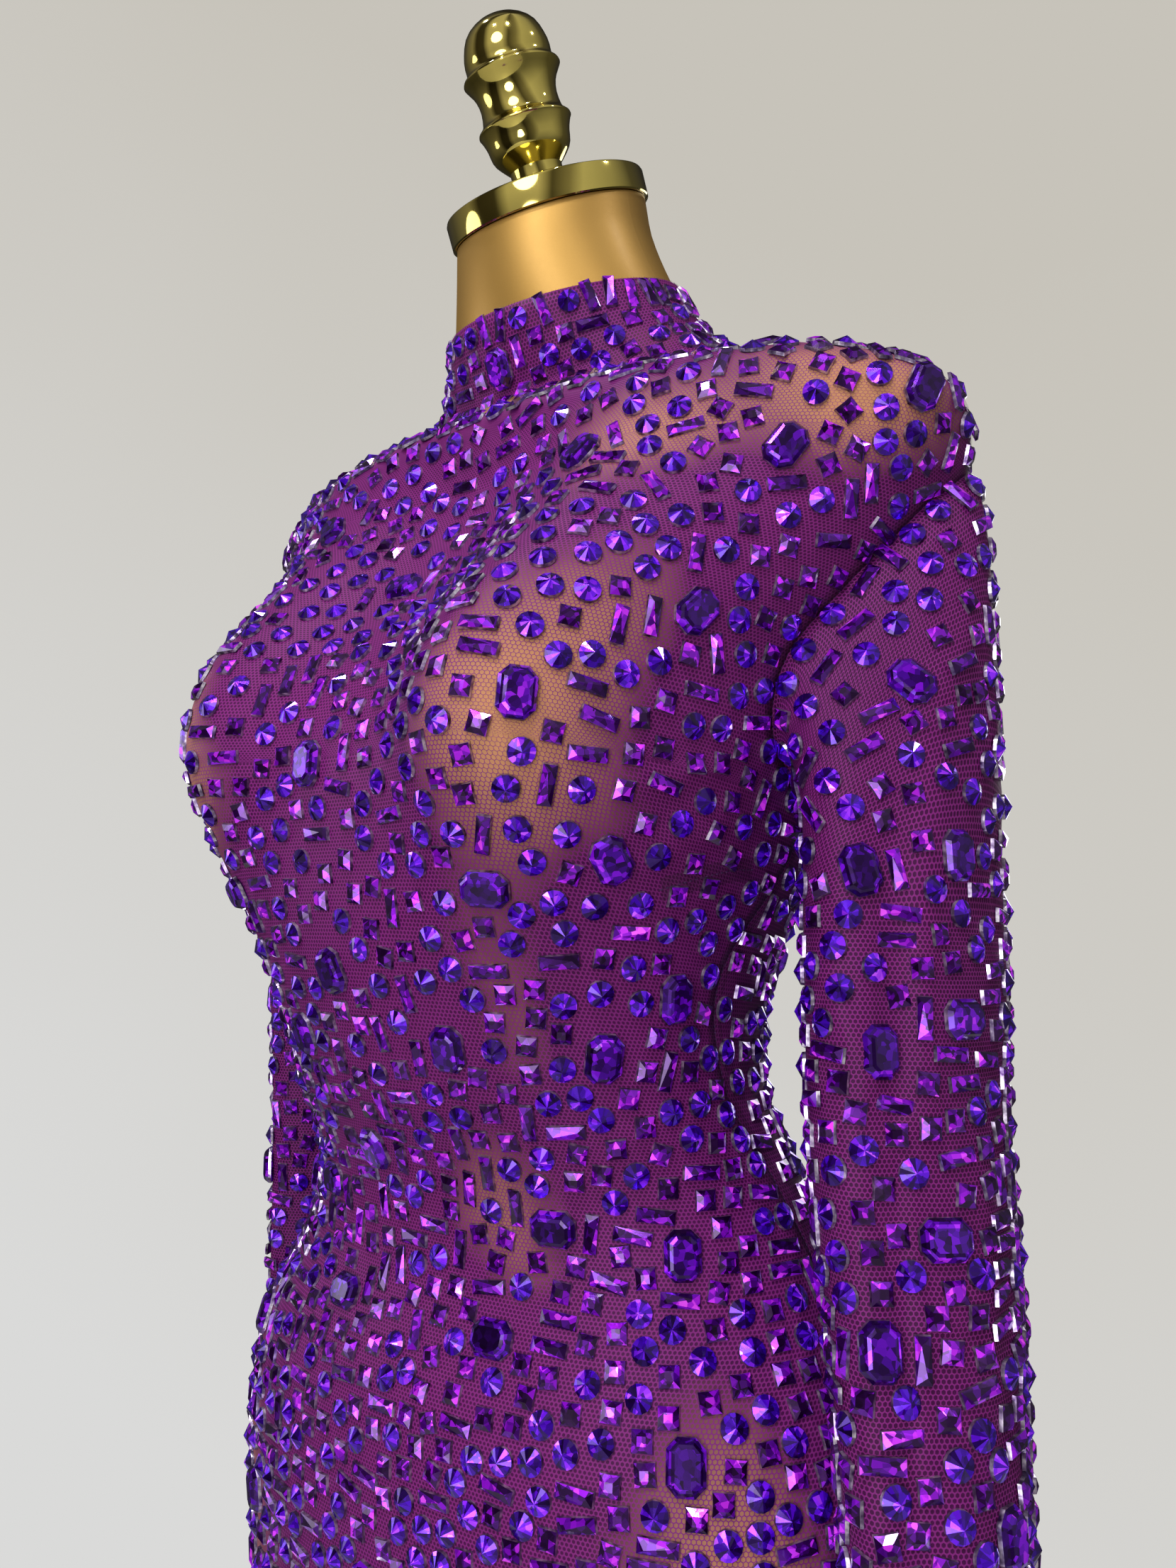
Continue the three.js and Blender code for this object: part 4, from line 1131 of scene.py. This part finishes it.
def net_material(kind):
    settings = bpy.context.scene.dress_net
    cover = {"panel": settings.slack_cover, "sleeve": SLEEVE_COVER, "collar": COLLAR_COVER}[kind]
    # Holes where the net is tight get painted light of the lit gold, and on the hollow sleeves the same
    # painted shade as where it is slack
    painted_tight_hole_colour = settings.painted_shade_colour if kind == "sleeve" else settings.painted_gold_light_colour
    return stretch_net(settings, f"stretch_net_{kind}", cover, painted_tight_hole_colour)


class DRESS_OT_panels(bpy.types.Operator):
    """Front and back panel of the dress, from the hem to the neck seam"""
    bl_idname = "dress.panels"
    bl_label = "Panels"

    def execute(self, context):
        for side, cut, area in (("front", (0.60, 0.92), 0.42), ("back", (0.47, 0.88), 0.36)):
            piece = cloth_piece(f"net_{side}_panel", panel_cloth(side, PANEL_STEP), net_material("panel"))
            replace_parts(piece, f"{side}_panel")
        return {"FINISHED"}


class DRESS_OT_collar(bpy.types.Operator):
    """High collar with its raw upper edge"""
    bl_idname = "dress.collar"
    bl_label = "Collar"

    def execute(self, context):
        piece = cloth_piece("net_collar", collar_cloth(FINE_STEP), net_material("collar"))
        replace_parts(piece, "collar")
        return {"FINISHED"}


class DRESS_OT_sleeves(bpy.types.Operator):
    """Both empty sleeves, hanging from their armholes"""
    bl_idname = "dress.sleeves"
    bl_label = "Sleeves"

    def execute(self, context):
        for name, path, mirror in SLEEVES:
            cloth = sleeve_cloth(path, FINE_STEP)
            if mirror:
                cloth.points = (cloth.points * [-1, 1, 1])[:, ::-1]
            piece = cloth_piece(f"net_{name}_sleeve", cloth, net_material("sleeve"))
            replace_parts(piece, f"{name}_sleeve")
        return {"FINISHED"}


class DRESS_OT_stones(bpy.types.Operator):
    """All the stones: octagons at their own places and smaller cuts between them"""
    bl_idname = "dress.stones"
    bl_label = "Stones"

    def execute(self, context):
        mirrored = [[-180 - place, z, -turn] for place, z, turn in FRONT_OCTAGONS]
        fronts = FRONT_OCTAGONS + mirrored + MIDDLE_OCTAGONS + staggered(SKIRT_LEVELS, 4, -164)
        backs = staggered(BACK_LEVELS, 3, 42)
        jobs = [
            (side, panel_cloth(side, STONE_STEP), octagons_on(panel_surface, table), LOOSE_ABOVE_Z, False)
            for side, table in (("front", fronts), ("back", backs))
        ]
        octagons = octagons_on(net_point, COLLAR_OCTAGONS)
        jobs.append(("collar", collar_cloth(STONE_STEP), octagons, COLLAR_TOP_Z, False))
        for name, path, mirror in SLEEVES:
            cloth = sleeve_cloth(path, STONE_STEP)
            jobs.append((f"{name}_sleeve", cloth, sleeve_octagons(path, cloth), COLLAR_TOP_Z, mirror))
        for number, (name, cloth, octagons, loose_above, mirror) in enumerate(jobs):
            random = np.random.default_rng(SEED + number)
            shapes = scattered(cloth, octagons, random, context.scene.dress_stones.spacing, loose_above)
            stones_piece(f"stones_{name}", shapes, random, mirror)
        return {"FINISHED"}


class DRESS_OT_sewing(bpy.types.Operator):
    """Stitches of every seam, the double net under them, and the frayed raw edges"""
    bl_idname = "dress.sewing"
    bl_label = "Sewing"

    def execute(self, context):
        random = np.random.default_rng(SEED)
        stitches, bands, quads, first = [], [], [], 0
        for points, normals in seam_paths():
            stitches.append((spindle(*STITCH), *along_path(points, normals, STITCH_STEP)))
            place, side, along, out = along_path(points, normals, 3)
            edge = place - out * 0.05
            strip = np.stack([edge - side * ALLOWANCE, place + out * 0.12, edge + side * ALLOWANCE], 1)
            cells, _ = grid_quads(len(strip), 3, False)
            bands.append(strip.reshape(-1, 3))
            quads.append(cells + first)
            first += len(strip) * 3
        joined_piece("seam_stitches", stitches)
        band = make_piece("seam_allowances", np.concatenate(bands), [np.concatenate(quads)],
                          [sewing_net()])
        edges = []
        around = spread(0, 360, 1)
        for height, way in ((COLLAR_TOP_Z, 1.0), (HEM_Z, -1.0)):
            z = np.full(around.shape, float(height))
            place, side, along, out = along_path(net_point(around, z), body_normal(around, z), FRAY_STEP)
            lean = random.normal(0, 0.35, (len(place), 2))
            long = random.uniform(0.5, 1.25, (len(place), 1))
            grow = unit([0, 0, way] + along * lean[:, :1] + out * lean[:, 1:]) * long
            edges.append((spindle(*FRAY), place, side, grow, out))
        joined_piece("raw_edge_fray", edges)
        return {"FINISHED"}


class DRESS_OT_form(bpy.types.Operator):
    """The limbless torso, its neck cap and its finial"""
    bl_idname = "dress.form"
    bl_label = "Form"

    def execute(self, context):
        settings = context.scene.dress_form
        plate = gold_plate(settings)
        nominal = np.concatenate(
            [panel_levels(FORM_STEP), spread(NECK_SEAM_SIDE + FORM_STEP, NECK_TOP_Z, FORM_STEP)])
        nominal = nominal[nominal >= FORM_BOTTOM_Z]
        nominal[0] = FORM_BOTTOM_Z
        share = spread(0, 1, 1 / FORM_COLUMNS)[None, :]
        level = np.minimum(nominal, NECK_SEAM_SIDE)[:, None]
        places = np.concatenate([panel_place(side, level, share) for side in ("front", "back")], 1)
        z = np.where(nominal[:, None] > NECK_SEAM_SIDE, nominal[:, None], row_z(level, places))
        points = body_point(places, z, bridged=False)
        shell = closed_tube("torso_shell", points, gold_lacquer(settings))
        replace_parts(shell, "form_torso")
        r, h = CAP_RADIUS, CAP_HEIGHT
        cap = [[0, 0], [r - 0.6, 0], [r, 0.6], [r, h - 1.6], [r - 0.5, h - 0.5], [r - 1.6, h],
               [r - 4, h], [20, h], [0, h]]
        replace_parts(turned("neck_cap_plate", cap, 128, plate, head_matrix(), 0.3), "neck_cap")
        knob = [*FINIAL_STEM, *smooth_line(FINIAL_BULB, 14), *smooth_line(FINIAL_WAIST, 14)[1:],
                *smooth_line(FINIAL_DOME, 20)[1:]]
        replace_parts(turned("finial_knob", knob, 96, plate, head_matrix(), h + 0.6), "finial")
        return {"FINISHED"}


class DRESS_OT_stand(bpy.types.Operator):
    """The pole and the round base"""
    bl_idname = "dress.stand"
    bl_label = "Stand"

    def execute(self, context):
        plate = gold_plate(context.scene.dress_form)
        r, foot, top = POLE_RADIUS, SOCKET_TOP + 0.3, FORM_BOTTOM_Z - 0.3
        pole = [[0, foot], [r - 0.6, foot], [r, foot + 0.6], [r, top - 0.6], [r - 0.6, top], [0, top]]
        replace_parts(turned("pole_tube", pole, 64, plate), "pole")
        r, s, top = BASE_RADIUS, SOCKET_RADIUS, SOCKET_TOP
        disc = [[0, 0], [r - 0.8, 0], [r, 0.8], [r, 4.6], [r - 0.8, 6], [r - 2.4, 7], [s + 14, 13.6],
                [s + 6, 15], [s + 1.4, 18], [s, 22], [s, top - 2], [s - 0.6, top - 0.6], [s - 2, top],
                [0, top]]
        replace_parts(turned("base_disc", disc, 160, plate), "base")
        return {"FINISHED"}


class DRESS_OT_studio(bpy.types.Operator):
    """Pale floor and background, soft lights and the photograph's camera"""
    bl_idname = "dress.studio"
    bl_label = "Studio"

    def execute(self, context):
        settings = context.scene.dress_studio
        scene = context.scene
        scene.view_settings.view_transform = "Standard"
        mesh = bpy.data.meshes.new("studio_floor")
        cos, sin = cos_sin(turns(FLOOR_SIDES))
        corners = np.column_stack([FLOOR_RADIUS * cos, FLOOR_RADIUS * sin, 0 * cos])
        mesh.from_pydata(corners.tolist(), [], [list(range(FLOOR_SIDES))])
        mesh.materials.append(studio_floor(settings))
        floor = add_object("studio_floor", mesh)
        scene.world = pale_room(settings)
        for name, place, aim, size, power in LAMPS:
            data = bpy.data.lights.new(name, "AREA")
            data.shape = "DISK"
            data.size = size
            data.energy = power * settings.light
            lamp = add_object(name, data)
            lamp.location = place
            lamp.rotation_mode = "QUATERNION"
            lamp.rotation_quaternion = (Vector((0, 0, aim)) - Vector(place)).to_track_quat("-Z", "Y")
        camera = add_object("photograph_camera", bpy.data.cameras.new("photograph_camera"))
        camera.data.lens = CAMERA_LENS
        camera.data.sensor_width = SENSOR
        camera.data.clip_start = 0.02
        turn, pitch, roll = (math.radians(v) for v in (CAMERA_TURN, CAMERA_PITCH, CAMERA_ROLL))
        camera.matrix_world = (
            Matrix.Translation(CAMERA_PLACE) @ Matrix.Rotation(turn, 4, "Z")
            @ Matrix.Rotation(math.pi / 2 + pitch, 4, "X") @ Matrix.Rotation(roll, 4, "Z"))
        scene.camera = camera
        return {"FINISHED"}


PIECES = (DRESS_OT_form, DRESS_OT_stand, DRESS_OT_panels, DRESS_OT_collar, DRESS_OT_sleeves, DRESS_OT_stones,
          DRESS_OT_sewing, DRESS_OT_studio)


class DRESS_PT_panel(bpy.types.Panel):
    """Lists the dress's pieces and settings"""
    bl_idname = "DRESS_PT_panel"
    bl_label = "Party dress"
    bl_space_type = "VIEW_3D"
    bl_region_type = "UI"
    bl_category = "Dress"

    def draw(self, context):
        layout = self.layout
        for piece in PIECES:
            layout.operator(piece.bl_idname)
        for group in SETTINGS:
            box = layout.box()
            values = getattr(context.scene, group)
            for name in values.__annotations__:
                box.prop(values, name)


SETTINGS = {"dress_net": NetSettings, "dress_stones": StoneSettings, "dress_form": FormSettings,
            "dress_studio": StudioSettings}
CLASSES = (*SETTINGS.values(), *PIECES, DRESS_PT_panel)


def register():
    for item in CLASSES:
        bpy.utils.register_class(item)
    for name, group in SETTINGS.items():
        setattr(bpy.types.Scene, name, bpy.props.PointerProperty(type=group))


def unregister():
    for name in SETTINGS:
        delattr(bpy.types.Scene, name)
    for item in reversed(CLASSES):
        bpy.utils.unregister_class(item)


def main():
    register()
    for piece in PIECES:
        group, name = piece.bl_idname.split(".")
        getattr(getattr(bpy.ops, group), name)()


if __name__ == "__main__":
    main()
